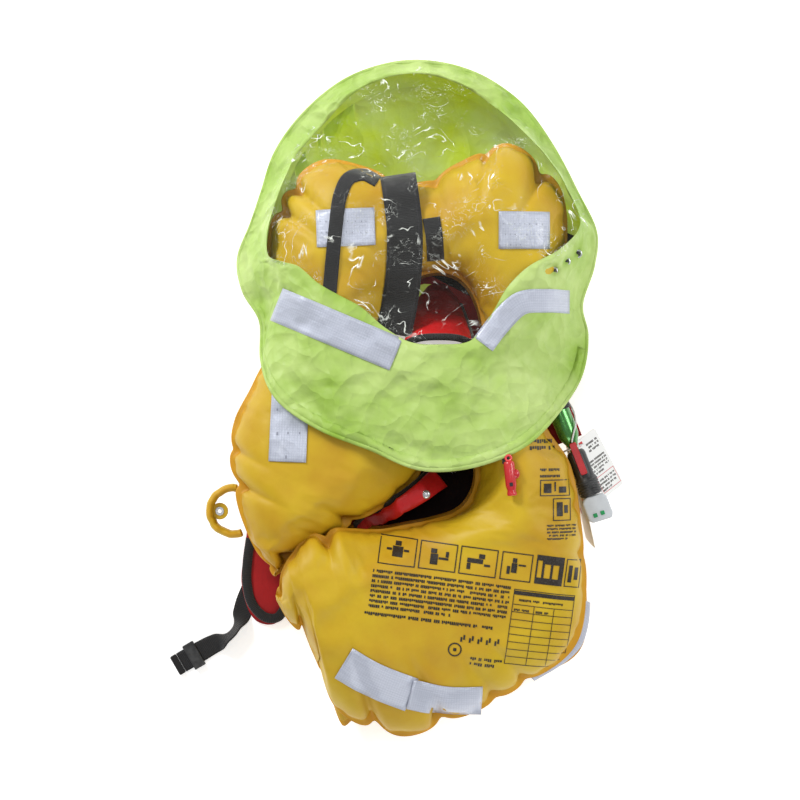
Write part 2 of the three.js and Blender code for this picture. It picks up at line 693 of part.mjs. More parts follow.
// `around` places the hole on the loop, and the card hangs outwards from the loop's middle.
function card(name, length, around, turn) {
  const holder = new THREE.Group();
  holder.position.copy(loopCentre).add(V(Math.cos(around), 0, Math.sin(around)).multiplyScalar(loopReach));
  holder.rotation.y = -around;
  inflator.add(holder);
  const sheet = roundedBlock(cardWidth, length, cardThick, 3)
    .translate(cardWidth / 2 - cardEdge, cardHead - length / 2, -cardThick / 2);
  const hole = rod(cardHole, 6, 12).rotateX(Math.PI / 2).translate(0, 0, -3);
  const made = add(name, cut(sheet, hole), cardWhite, holder);
  made.rotation.set(...turn);
}
card("service_card_front", shortCard, -Math.PI / 4, [0, 0, 0.16]);
card("service_card_back", longCard, -Math.PI / 2, [0.1, 0.14, 0.32]);

// ---- Whistle on its keeper ----
const whistlePivot = P(124, -74);
const keeperSize = 16;
const highestUnder = (x0, x1, y0, y1) => {
  let high = 0;
  for (let x = x0; x <= x1; x += 2)
    for (let y = y0; y <= y1; y += 2) high = Math.max(high, heightAt(x, y, [outerChamber]));
  return high;
};
const { x: whistleX, y: whistleY } = whistlePivot;
const keeperReach = 0.6 * keeperSize;
const keeperGround = highestUnder(
  whistleX - keeperReach, whistleX + keeperReach, whistleY - keeperReach, whistleY + keeperReach,
);
const whistleGround = highestUnder(whistleX - 10, whistleX + 18, whistleY - whistleLength - 4, whistleY + 6);
const keeperThick = 1.6;
const whistle = new THREE.Group();
const whistleLift = laidGap + keeperThick + fitGap;
const whistleLow = Math.max(keeperGround + whistleLift, whistleGround + laidGap);
whistle.position.set(whistleX, whistleY, whistleLow + whistleRadius);
whistle.rotation.z = 0.1;
model.add(whistle);
const eyeReach = 5;
const mouthBore = 4.6;
const mouthDepth = 16;
const whistleTube = turned([
  [0, -whistleLength + mouthDepth], [mouthBore, -whistleLength + mouthDepth], [mouthBore, -whistleLength],
  [whistleRadius - 1, -whistleLength], [whistleRadius - 1, -eyeReach - 33], [whistleRadius, -eyeReach - 32],
  [whistleRadius, -eyeReach], [0, -eyeReach],
], 16);
const whistleLug = new THREE.SphereGeometry(6.4, 12, 8).scale(0.85, 1, 0.7).translate(whistleRadius, -22, 0);
const eyeThick = 3;
const upright = (radius, height, sides) =>
  new THREE.CylinderGeometry(radius, radius, height, sides).rotateX(Math.PI / 2);
const airSlot = new THREE.BoxGeometry(5, 6, 6).translate(0, -34, whistleRadius);
add(
  "whistle",
  cut(
    joined(whistleTube, whistleLug, upright(5, eyeThick, 14).translate(0, -1, 0)),
    upright(2.2, 6, 12), airSlot,
  ),
  whistleRed, whistle,
);
const keeperLow = keeperGround + laidGap - whistle.position.z;
const keeperHigh = -whistleRadius - fitGap;
const pinTop = 3;
const pinLow = keeperHigh - keeperThick / 2;
add(
  "whistle_keeper",
  joined(
    upright(1.6, pinTop - pinLow, 12).translate(0, 0, (pinTop + pinLow) / 2),
    new THREE.BoxGeometry(keeperSize, keeperSize, keeperHigh - keeperLow)
      .translate(0, 0, (keeperHigh + keeperLow) / 2),
  ),
  webBlack, whistle,
);

// ---- Oral inflation tube, out of the chamber's rim at the left shoulder, under the hood ----
const oral = new THREE.Group();
oral.position.copy(P(-174, 92, rimLevel - 32));
oral.rotation.z = 0.42;
model.add(oral);
oral.updateMatrixWorld();
const valveRadius = oralRadius - 3;
const tubeRadius = oralRadius - 1.6;
const oralTube = turned([
  [0, 0], [oralRadius, 0], [oralRadius, 4], [tubeRadius, 7], [tubeRadius, oralLength - 8],
  [valveRadius, oralLength - 8], [valveRadius, oralLength], [0, oralLength],
], 16);
const chamberBehind = outerChamber.geometry.clone()
  .applyMatrix4(oral.matrixWorld.clone().invert()).translate(0, fitGap, 0);
add("oral_tube", cut(oralTube, chamberBehind), plasticBlack, oral);
const capLength = 15;
const capFoot = oralLength - 7;
const capInner = valveRadius + fitGap;
const capOuter = oralRadius + 0.6;
add(
  "oral_cap",
  turned([
    [capInner, capFoot], [capOuter, capFoot], [capOuter, capFoot + capLength], [0, capFoot + capLength],
    [0, oralLength + fitGap], [capInner, oralLength + fitGap], [capInner, capFoot],
  ], 16),
  whistleRed, oral,
);

// ---- Side lobe at the left with its eyelet tab ----
const sideCentre = P(-232, -146, rimLevel - 40);
const sideRadius = 34;
const sideWall = 5;
const sideHeight = 36;
const sideSpan = [1.4, 5.1];
const sideShape = new THREE.Shape().absarc(0, 0, sideRadius, ...sideSpan);
sideShape.absarc(0, 0, sideRadius - sideWall, sideSpan[1], sideSpan[0], true);
const chamberInward = outerChamber.geometry.clone().translate(-fitGap, 0, 0);
add(
  "side_loop",
  cut(
    new THREE.ExtrudeGeometry(sideShape, { depth: sideHeight, bevelEnabled: false, curveSegments: 12 })
      .translate(...sideCentre.toArray()),
    chamberInward,
  ),
  chamberYellow,
);
const tabRadius = 11;
const tabThick = 3;
const tabReach = sideRadius - sideWall - 2 * fitGap - tabRadius;
const tabPlace = sideCentre.clone().add(V(-tabReach, 0, sideHeight / 2 + 6));
const eyeletHole = 2.4;
const eyeletBarrel = eyeletHole + 1.2;
const eyeletFlange = eyeletBarrel + 2;
add(
  "eyelet_tab",
  cut(upright(tabRadius, tabThick, 24), upright(eyeletBarrel + fitGap, tabThick + 2, 16))
    .translate(...tabPlace.toArray()),
  chamberYellow,
);
const flangeLow = tabThick / 2 + fitGap;
const flangeHigh = flangeLow + 0.5;
add(
  "eyelet",
  turned([
    [eyeletHole, -flangeHigh], [eyeletFlange, -flangeHigh], [eyeletFlange, -flangeLow],
    [eyeletBarrel, -flangeLow], [eyeletBarrel, flangeLow], [eyeletFlange, flangeLow],
    [eyeletFlange, flangeHigh], [eyeletHole, flangeHigh], [eyeletHole, -flangeHigh],
  ], 16).rotateX(Math.PI / 2).translate(...tabPlace.toArray()),
  steel,
);

// ---- Spray hood ----
// Rim of the hood and edge of its window, matched point by point from the left side over the top:
// [rim x, y, level], [window x, y, level], before the cloth is lifted clear of what it lies on.
const hoodPairs = [
  [[-194, 272, 84], [-165, 278, 120]],
  [[-177, 324, 78], [-150, 317, 100]],
  [[-138, 378, 72], [-112, 363, 92]],
  [[-79, 424, 68], [-66, 408, 86]],
  [[-1, 445, 66], [-1, 428, 84]],
  [[77, 432, 68], [57, 417, 86]],
  [[142, 391, 72], [116, 378, 92]],
  [[183, 337, 78], [165, 324, 100]],
  [[217, 272, 84], [200, 272, 112]],
  [[242, 217, 88], [218, 226, 130]],
  [[238, 174, 92], [192, 194, 160]],
  [[222, 122, 98], [148, 168, 196]],
  [[229, 84, 104], [122, 142, 204]],
  [[222, 35, 112], [105, 113, 206]],
  [[191, -14, 150], [90, 90, 206]],
  [[142, -60, 196], [74, 74, 208]],
  [[77, -85, 200], [38, 70, 210]],
  [[12, -88, 202], [-1, 73, 210]],
  [[-53, -62, 202], [-34, 92, 210]],
  [[-118, -36, 200], [-64, 118, 208]],
  [[-170, 1, 180], [-92, 133, 206]],
  [[-192, 51, 130], [-118, 148, 204]],
  [[-195, 103, 110], [-144, 170, 196]],
  [[-218, 142, 94], [-166, 177, 170]],
  [[-225, 183, 90], [-182, 184, 150]],
  [[-208, 230, 86], [-182, 226, 132]],
];
const hoodSides = 44;
const hoodRings = 5;
const windowRings = 4;
const windowCentre = P(10, 240);
const windowPeak = 216;
model.updateMatrixWorld(true);
const notUnderHood = new Set(["hood_back", "service_card_front", "service_card_back", "card_loop"]);
const underHood = [];
model.traverse((o) => o.isMesh && !notUnderHood.has(o.name) && underHood.push(o));
const rimCurve = new THREE.CatmullRomCurve3(hoodPairs.map(([a]) => P(...a)), true);
const windowCurve = new THREE.CatmullRomCurve3(hoodPairs.map(([, b]) => P(...b)), true);
const hoodTurns = Array.from({ length: hoodSides }, (_, i) => i / hoodSides);
const rounded = (low, high, share) => lerp(low, high, Math.sin((Math.PI / 2) * share));

// One sheet from the rim over the window's edge nearly to its middle, lifted clear of what is below.
// The cloth's last band laps the window.
const clothRows = Array.from({ length: hoodRings + 1 }, (_, i) =>
  hoodTurns.map((turn) => {
    const [rim, edge] = [rimCurve.getPoint(turn), windowCurve.getPoint(turn)];
    const lapStart = 1 - windowLap / Math.hypot(rim.x - edge.x, rim.y - edge.y);
    const share = i < hoodRings ? (lapStart * i) / (hoodRings - 1) : 1;
    return rim.clone().lerp(edge, share).setZ(rounded(rim.z, edge.z, share));
  }));
const domeRows = Array.from({ length: windowRings - 1 }, (_, i) =>
  clothRows[hoodRings].map((p) => {
    const share = (i + 1) / windowRings;
    return p.clone().lerp(windowCentre, share).setZ(rounded(p.z, windowPeak, share));
  }));
settle([...clothRows, ...domeRows], clothThick, underHood, hoodClear, true);

// The clear window, sewn under the cloth's inner edge.
const filmDrop = clothThick + fitGap;
const filmRows = [...clothRows.slice(-2), ...domeRows].map((row) =>
  row.map((p) => p.clone().setZ(p.z - filmDrop)));
const hoodWindow = add("hood_window", slab(filmRows, windowThick, { ring: true, filled: true }), clearFilm);

// The cloth with its three vent holes.
const ventRadius = 3.2;
const ventHoles = [P(184, 165), P(201, 178), P(217, 189)].map((p) =>
  upright(ventRadius, 2 * windowPeak, 10).translate(p.x, p.y, windowPeak));
const hoodFront = add(
  "hood_front",
  cut(slab(clothRows, clothThick, { ring: true }), ...ventHoles),
  hoodLime,
);

// The back of the hood: a tray from under the rim down to the floor, flat under the cushion.
const backChord = planY(92); // its lower edge on the floor
const backSpan = [-2.6, 10.4]; // in steps of the outline's points
const backSteps = 28;
const backCentre = P(10, 200);
const backInset = 26;
const pointAlongRim = (i) => rimCurve.getPoint((lerp(...backSpan, i / backSteps) / hoodPairs.length + 1) % 1);
const inwards = (p, reach) =>
  p.clone().addScaledVector(backCentre.clone().sub(p).setZ(0).normalize(), reach);
const outerWall = [
  [0, 1, 0], [0.35, 0.42, 0], [1, 0, 0],
].map(([inset, height]) =>
  Array.from({ length: backSteps + 1 }, (_, i) => {
    const rim = pointAlongRim(i);
    return inwards(rim, inset * backInset).setZ((rim.z - clothThick - fitGap) * height);
  }));
const innerWall = outerWall.map((row, i) => row.map((p) =>
  inwards(p, clothThick).setZ(i === outerWall.length - 1 ? clothThick : p.z)));
const lastOuter = outerWall[outerWall.length - 1];
const chordEnds = [lastOuter[0].x * 0.9, lastOuter[backSteps].x * 0.9];
const acrossFloor = (z) => lastOuter.map((_, i) => V(lerp(...chordEnds, i / backSteps), backChord, z));
add(
  "hood_back",
  shell([...innerWall, acrossFloor(clothThick)], [...outerWall, acrossFloor(0)]),
  hoodLime,
);
// Short black stays hold the hood's sides to the cushion.
const stayWidth = 12;
const stay = (name, from, to) => {
  const side = V(from.y - to.y, to.x - from.x).normalize().multiplyScalar(stayWidth / 2);
  const strip = slab([from, to].map((p) => [p.clone().sub(side), p.clone().add(side)]), webThick);
  const beside = outerChamber.geometry.clone().translate(Math.sign(to.x) * fitGap, 0, 0);
  add(name, cut(strip, beside), webBlack);
};
stay("hood_stay_right", P(188, 218, rimLevel - 26), P(226, 204, rimLevel - 40));
stay("hood_stay_left", P(-168, 192, rimLevel - 26), P(-211, 186, rimLevel - 40));

// Elastic hem along the front of the hood.
const hemWidth = 9;
const hemThick = 2;
const hemInset = 1.5;
const hemSpan = [12.5, 22.5].map((i) => Math.round((i / hoodPairs.length) * hoodSides));
const hemRow = (inset) =>
  clothRows[0].slice(...hemSpan).map((p, i) => {
    const q = clothRows[1][hemSpan[0] + i];
    const way = q.clone().sub(p);
    return p.clone().addScaledVector(way, inset / Math.hypot(way.x, way.y)).add(V(0, 0, laidGap + hemThick));
  });
const hemRows = settle([hemRow(hemInset), hemRow(hemInset + hemWidth)], hemThick, [hoodFront], 1.5 * laidGap);
const hoodHem = add("hood_hem", slab(hemRows, hemThick), hoodLime);

const tapeOnHood = (name, route, width) => tapeOn(name, route, width, 12, [hoodFront, hoodHem, hoodWindow]);
tapeOnHood("hood_tape_left", [P(-170, 120), P(-100, 92), P(-22, 60)], 44);
tapeOnHood("hood_tape_right", [P(96, 66), P(126, 108), P(160, 124), P(198, 128)], 30);

// The origin is under the middle of the whole, on the floor.
const whole = new THREE.Box3().setFromObject(model, true);
const middle = whole.getCenter(V(0, 0));
model.position.set(-middle.x, -middle.y, -whole.min.z);

export default model;
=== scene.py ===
"""Looks of an inflated twin-chamber life jacket with harness, inflator, whistle and spray hood."""

import json
import math

import bpy
import numpy as np
from bpy.props import FloatProperty, FloatVectorProperty, IntProperty, PointerProperty
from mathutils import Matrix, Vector


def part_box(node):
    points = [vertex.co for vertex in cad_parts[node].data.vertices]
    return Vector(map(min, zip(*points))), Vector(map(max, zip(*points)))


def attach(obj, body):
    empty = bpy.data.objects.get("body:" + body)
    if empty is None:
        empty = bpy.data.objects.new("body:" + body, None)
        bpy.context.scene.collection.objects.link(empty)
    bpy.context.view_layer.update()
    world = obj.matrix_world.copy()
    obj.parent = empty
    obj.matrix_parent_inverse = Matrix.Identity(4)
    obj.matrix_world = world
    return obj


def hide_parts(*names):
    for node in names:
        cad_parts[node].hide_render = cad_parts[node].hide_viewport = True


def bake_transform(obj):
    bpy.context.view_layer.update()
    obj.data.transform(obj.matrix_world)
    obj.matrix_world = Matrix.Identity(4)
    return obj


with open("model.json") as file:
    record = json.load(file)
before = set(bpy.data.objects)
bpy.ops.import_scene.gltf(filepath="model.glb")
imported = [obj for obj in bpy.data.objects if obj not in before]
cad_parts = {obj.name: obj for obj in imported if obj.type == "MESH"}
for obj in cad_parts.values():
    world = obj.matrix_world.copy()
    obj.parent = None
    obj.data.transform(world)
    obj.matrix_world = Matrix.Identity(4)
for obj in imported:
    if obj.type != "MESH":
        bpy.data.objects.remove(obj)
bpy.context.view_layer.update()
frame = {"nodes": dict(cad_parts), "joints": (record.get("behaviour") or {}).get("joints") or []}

bl_info = {
    "name": "Inflated Life Jacket",
    "version": (1, 0, 0),
    "blender": (4, 5, 0),
    "location": "View3D > Sidebar > Life Jacket",
    "description": "Builds the pieces and finishes of an inflated life jacket around its frame",
    "category": "Add Mesh",
}

MM = 0.001


# ---------------------------------------------------------------- places
def tint(code):
    """Scene-linear colour of a six-figure screen colour."""
    levels = np.array([int(code[i:i + 2], 16) for i in (0, 2, 4)]) / 255
    return tuple(np.where(levels <= 0.04045, levels / 12.92, ((levels + 0.055) / 1.055) ** 2.4))


def joint(name):
    """The frame's joint of that name."""
    return next(j for j in frame["joints"] if j["name"] == name)


belt_low, belt_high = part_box("waist_belt_left")
SHIFT = np.array([belt_low.x + 0.184, (belt_low.y + belt_high.y) / 2 + 0.240])


def plan(points):
    """Plan millimetres, where the waist belt's left end is (-184, -240), to metres in the frame."""
    placed = np.array(points, float) * MM
    placed[..., 0] += SHIFT[0]
    placed[..., 1] += SHIFT[1]
    return placed


class Place:
    """A piece's own axes in the frame: an origin, a Y axis level with the floor, and Z up."""

    def __init__(self, origin, y_axis):
        self.origin = np.array(origin, float)
        y = np.array(y_axis, float) / np.linalg.norm(y_axis)
        self.axes = np.array([(y[1], -y[0], 0), y, (0, 0, 1)])

    def at(self, points):
        """Millimetres in the piece's axes to metres in the frame."""
        return self.origin + (np.array(points, float) * MM) @ self.axes


# ---------------------------------------------------------------- curves and noise
def spline(points, t):
    """Centripetal Catmull-Rom curve through points, at t counted in points from the first.

    Knots lie apart by the square root of each gap, and three rounds of blending give the cubic."""
    points = np.array(points, float)
    t = np.asarray(t, float)
    padded = np.vstack([2 * points[0] - points[1], points, 2 * points[-1] - points[-2]])
    i = np.clip(t.astype(int), 0, len(points) - 2)
    share = (t - i)[:, None]
    p = [padded[i + k] for k in range(4)]
    knots = [np.zeros((len(t), 1))]
    for k in range(3):
        gap = np.linalg.norm(p[k + 1] - p[k], axis=1, keepdims=True)
        knots.append(knots[-1] + np.sqrt(np.maximum(gap, 1e-9)))
    at = knots[1] + share * (knots[2] - knots[1])

    def blend(a, b, low, high):
        return (a * (high - at) + b * (at - low)) / (high - low)

    first = [blend(p[k], p[k + 1], knots[k], knots[k + 1]) for k in range(3)]
    second = [blend(first[k], first[k + 1], knots[k], knots[k + 2]) for k in range(2)]
    return blend(second[0], second[1], knots[1], knots[2])


def ring(points, count):
    """Closed spline through points, at count places evenly spread over its points."""
    points = np.array(points, float)
    n = len(points)
    wrapped = np.vstack([points[-2:], points, points[:3]])
    return spline(wrapped, 2 + np.arange(count) * n / count)


def run_of(line):
    """Distance along a line of points, from its start to each point."""
    steps = np.linalg.norm(np.diff(line, axis=0), axis=1)
    return np.concatenate([[0], np.cumsum(steps)])


def units(vectors):
    """Vectors scaled to a length of one."""
    return vectors / np.linalg.norm(vectors, axis=-1, keepdims=True)


def sides_of(line):
    """Unit vectors in plan that point to the left of a line, one at each of its points."""
    ahead = units(np.gradient(line, axis=0))
    return np.stack([-ahead[:, 1], ahead[:, 0]], axis=1)


def raised(flat, heights):
    """Plan points with their heights as a third coordinate."""
    return np.concatenate([flat, heights[..., None]], axis=-1)


def circle(count):
    """Angles evenly spread round a circle."""
    return np.linspace(0, 2 * np.pi, count, endpoint=False)


def evenly(points, count):
    """count points at even distances along the spline through points."""
    fine = spline(points, np.linspace(0, len(points) - 1, 40 * len(points)))
    run = run_of(fine)
    at = np.linspace(0, run[-1], count)
    return np.stack([np.interp(at, run, fine[:, k]) for k in range(fine.shape[1])], axis=1)


def lattice(x, y, seed):
    """Value noise from 0 to 1: seeded random numbers on a unit lattice, blended by smoothstep."""
    size = 256
    values = np.random.default_rng(seed).random((size, size))
    i, j = np.floor(x).astype(int), np.floor(y).astype(int)
    u, v = x - i, y - j
    u, v = u * u * (3 - 2 * u), v * v * (3 - 2 * v)
    i, j = i % size, j % size
    k, m = (i + 1) % size, (j + 1) % size
    low = values[i, j] * (1 - u) + values[k, j] * u
    high = values[i, m] * (1 - u) + values[k, m] * u
    return low * (1 - v) + high * v


def folds(x, y, length, gap, angle, seed, rounds=3):
    """Cloth folds from -1 to 1: ridged noise stretched to length along angle and to gap across it.

    Each round halves both sizes and the height, and a slow warp bends the ridges."""
    u = x * math.cos(angle) + y * math.sin(angle)
    v = -x * math.sin(angle) + y * math.cos(angle)
    v = v + 0.6 * gap * (lattice(u / length, v / length, seed + 90) - 0.5) * 4
    total, weight, height = 0, 0, 1.0
    for k in range(rounds):
        n = lattice(u / length * 2 ** k + 7, v / gap * 2 ** k + 3, seed + k)
        total = total + height * (1 - 2 * np.abs(2 * n - 1))
        weight += height
        height *= 0.5
    return total / weight


def smoothed(grid, passes, closed):
    """Each pass averages every point with its four neighbours; the first axis is closed or held."""
    for _ in range(passes):
        around = (np.roll(grid, 1, 0) + np.roll(grid, -1, 0)) / 2
        if not closed:
            around[0], around[-1] = grid[0], grid[-1]
        inward = grid.copy()
        inward[:, 1:-1] = (grid[:, :-2] + grid[:, 2:]) / 2
        grid = (2 * grid + around + inward) / 4
    return grid


# ---------------------------------------------------------------- meshes
def mesh_of(name, points, faces, material, cloth=None, edge=None, smooth=True):
    """A new object from a point array and a face array, at the origin.

    cloth holds distances along and across a sheet in metres, and edge is 1 on a seam."""
    points = np.asarray(points, float).reshape(-1, 3)
    mesh = bpy.data.meshes.new(name)
    mesh.from_pydata(points.tolist(), [], faces if isinstance(faces, list) else faces.tolist())
    if cloth is not None:
        layer = mesh.attributes.new("cloth", "FLOAT_VECTOR", "POINT")
        layer.data.foreach_set("vector", np.asarray(cloth, np.float32).ravel())
    if edge is not None:
        layer = mesh.attributes.new("edge", "FLOAT", "POINT")
        layer.data.foreach_set("value", np.asarray(edge, np.float32).ravel())
    mesh.polygons.foreach_set("use_smooth", np.full(len(mesh.polygons), smooth))
    mesh.materials.append(material)
    mesh.update()
    made = bpy.data.objects.new(name, mesh)
    bpy.context.scene.collection.objects.link(made)
    return made


def quads(rows, cols, closed_rows=False, closed_cols=False, flip=False):
    """Faces of a rows by cols grid, joined end to end where closed."""
    i, j = np.meshgrid(np.arange(rows if closed_rows else rows - 1),
                       np.arange(cols if closed_cols else cols - 1), indexing="ij")
    k, m = (i + 1) % rows, (j + 1) % cols
    faces = np.stack([i * cols + j, k * cols + j, k * cols + m, i * cols + m], axis=-1)
    faces = faces.reshape(-1, 4)
    return faces[:, ::-1] if flip else faces


def sheet_mesh(name, grid, material, closed=False, flip=False):
    """An open sheet over a grid of points; its first axis is closed if asked."""
    faces = quads(*grid.shape[:2], closed_rows=closed, flip=flip)
    return mesh_of(name, grid, faces, material, cloth_of(grid))


def cloth_of(grid):
    """Distance along the first axis, across the second, and a share from -1 to 1 across."""
    rows, cols = grid.shape[:2]
    along, across = run_of(grid[:, cols // 2]), run_of(grid[rows // 2])
    share = np.linspace(-1, 1, cols)
    return np.stack(np.broadcast_arrays(along[:, None], across[None, :], share[None, :]), axis=-1)


def tube_mesh(name, rings, material, cloth=None, edge=None, flip=False, smooth=True):
    """A closed body over rings of points, its two ends closed by a fan about their middles."""
    rows, cols = rings.shape[:2]
    faces = quads(rows, cols, closed_cols=True, flip=flip).tolist()
    middles = rings[[0, -1]].mean(axis=1)
    j = np.arange(cols)
    k = (j + 1) % cols
    start = np.stack([np.full(cols, rows * cols), j, k], axis=1)
    end = np.stack([np.full(cols, rows * cols + 1), (rows - 1) * cols + k, (rows - 1) * cols + j], axis=1)
    fans = np.vstack([start, end])
    faces += (fans[:, ::-1] if flip else fans).tolist()

    def with_middles(values):
        if values is None:
            return None
        flat = np.asarray(values, float).reshape(rows * cols, -1)
        return np.vstack([flat, flat[:1], flat[-1:]])

    points = np.vstack([rings.reshape(-1, 3), middles])
    return mesh_of(name, points, faces, material, with_middles(cloth), with_middles(edge), smooth)


def turned_mesh(name, place, profile, material, sides=56, spin=None):
    """A profile of [radius, height] millimetres turned about a place's Y axis; it runs base to top.

    Point (radius, height, angle) lies at radius sideways at that angle, and at height along Y."""
    profile = np.array(profile, float)
    angle = circle(sides)
    radius = np.maximum(profile[:, 0], 0.05)[:, None] * np.ones(sides)
    if spin is not None:
        radius = radius + spin(profile[:, 1][:, None], angle[None, :])
    local = np.stack([radius * np.cos(angle), profile[:, 1][:, None] * np.ones(sides),
                      radius * np.sin(angle)], axis=-1)
    cloth = np.stack([profile[:, 1][:, None] * MM * np.ones(sides), radius * angle * MM,
                      radius * 0], axis=-1)
    return tube_mesh(name, place.at(local), material, cloth)


def thicken(piece, thickness, offset=-1.0):
    """A Solidify wall: offset -1 puts it under the surface, and 1 above it."""
    wall = piece.modifiers.new("thickness", "SOLIDIFY")
    wall.thickness = thickness
    wall.offset = offset
    wall.use_even_offset = False
    return piece


def rounded_edges(piece, width, segments=2, angle=math.radians(32)):
    """A bevel on every edge sharper than angle."""
    bevel = piece.modifiers.new("edges", "BEVEL")
    bevel.width = width
    bevel.segments = segments
    bevel.limit_method = "ANGLE"
    bevel.angle_limit = angle
    bevel.harden_normals = False
    return piece


def subdivided(piece, levels):
    """Subdivision with the same levels in view and in render."""
    finer = piece.modifiers.new("finer", "SUBSURF")
    finer.levels = levels
    finer.render_levels = levels
    return piece


def points_of(piece):
    """A mesh object's points as an array."""
    flat = np.zeros(len(piece.data.vertices) * 3, np.float32)
    piece.data.vertices.foreach_get("co", flat)
    return flat.reshape(-1, 3).astype(float)


def set_points(piece, points):
    """Moves a mesh object's points."""
    piece.data.vertices.foreach_set("co", np.asarray(points, np.float32).ravel())
    piece.data.update()


DROP_START = 0.5  # metres above the floor, over everything
MISSED = 0.02  # metres; a drop that ends lower has missed its target
CLOTH_STIFFNESS = 12
rim_low, rim_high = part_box("outer_chamber")
RIM = (rim_low.z + rim_high.z) / 2


def drop(points, targets, floor=0.0):
    """Height of the highest target straight under each point, or floor where there is none."""
    flat = np.asarray(points, float).reshape(-1, points.shape[-1])
    start = np.column_stack([flat[:, :2], np.full(len(flat), DROP_START)])
    probe = bpy.data.objects.new("probe", bpy.data.meshes.new("probe"))
    probe.data.from_pydata(start.tolist(), [], [])
    bpy.context.scene.collection.objects.link(probe)
    heights = np.full(len(flat), floor)
    for target in targets:
        fall = probe.modifiers.new("fall", "SHRINKWRAP")
        fall.wrap_method = "PROJECT"
        fall.use_project_z = True
        fall.use_negative_direction = True
        fall.use_positive_direction = False
        fall.target = target
        seen = probe.evaluated_get(bpy.context.evaluated_depsgraph_get())
        z = points_of(seen)[:, 2]
        heights = np.where(z < DROP_START - 1e-6, np.maximum(heights, z), heights)
        probe.modifiers.remove(fall)
    bpy.data.objects.remove(probe)
    return heights.reshape(points.shape[:-1])


def inflate(piece, pinned, frames, pressure, slack, cap, gravity=0.0):
    """Cloth simulation with inner pressure; pinned points stay, and no point moves past cap."""
    rest = points_of(piece)
    group = piece.vertex_groups.new(name="held")
    group.add(np.flatnonzero(pinned).tolist(), 1.0, "REPLACE")
    cloth = piece.modifiers.new("cloth", "CLOTH")
    how = cloth.settings
    how.vertex_group_mass = "held"
    how.quality = 5
    how.mass = 0.2
    how.tension_stiffness = CLOTH_STIFFNESS
    how.compression_stiffness = CLOTH_STIFFNESS
    how.shear_stiffness = 6
    how.bending_stiffness = 0.3
    how.air_damping = 4
    how.use_pressure = pressure > 0
    how.uniform_pressure_force = pressure
    how.shrink_min = -slack
    how.effector_weights.gravity = gravity
    cloth.collision_settings.use_collision = False
    cloth.point_cache.frame_start = 1
    cloth.point_cache.frame_end = frames
    scene = bpy.context.scene
    for step in range(1, frames + 1):
        scene.frame_set(step)
    moved = points_of(piece.evaluated_get(bpy.context.evaluated_depsgraph_get()))
    piece.modifiers.remove(cloth)
    piece.vertex_groups.remove(group)
    scene.frame_set(1)
    way = moved - rest
    far = np.linalg.norm(way, axis=1, keepdims=True)
    set_points(piece, rest + way * np.minimum(1, cap / np.maximum(far, 1e-9)))


def keep(piece, body, slot, *nodes):
    """The piece rides on a body and stands for CAD nodes; its slot argument is not used."""
    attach(piece, body)
    if nodes:
        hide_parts(*nodes)
    return piece


def dress(name, finish, slot, bevel=0.0):
    """Gives a CAD node that stays one of the finishes, and softens its edges."""
    node = frame["nodes"][name]
    node.data.materials.clear()
    node.data.materials.append(finish_of(finish))
    if bevel:
        weld = node.modifiers.new("weld", "WELD")
        weld.merge_threshold = 1e-5
        rounded_edges(node, bevel)
    return node


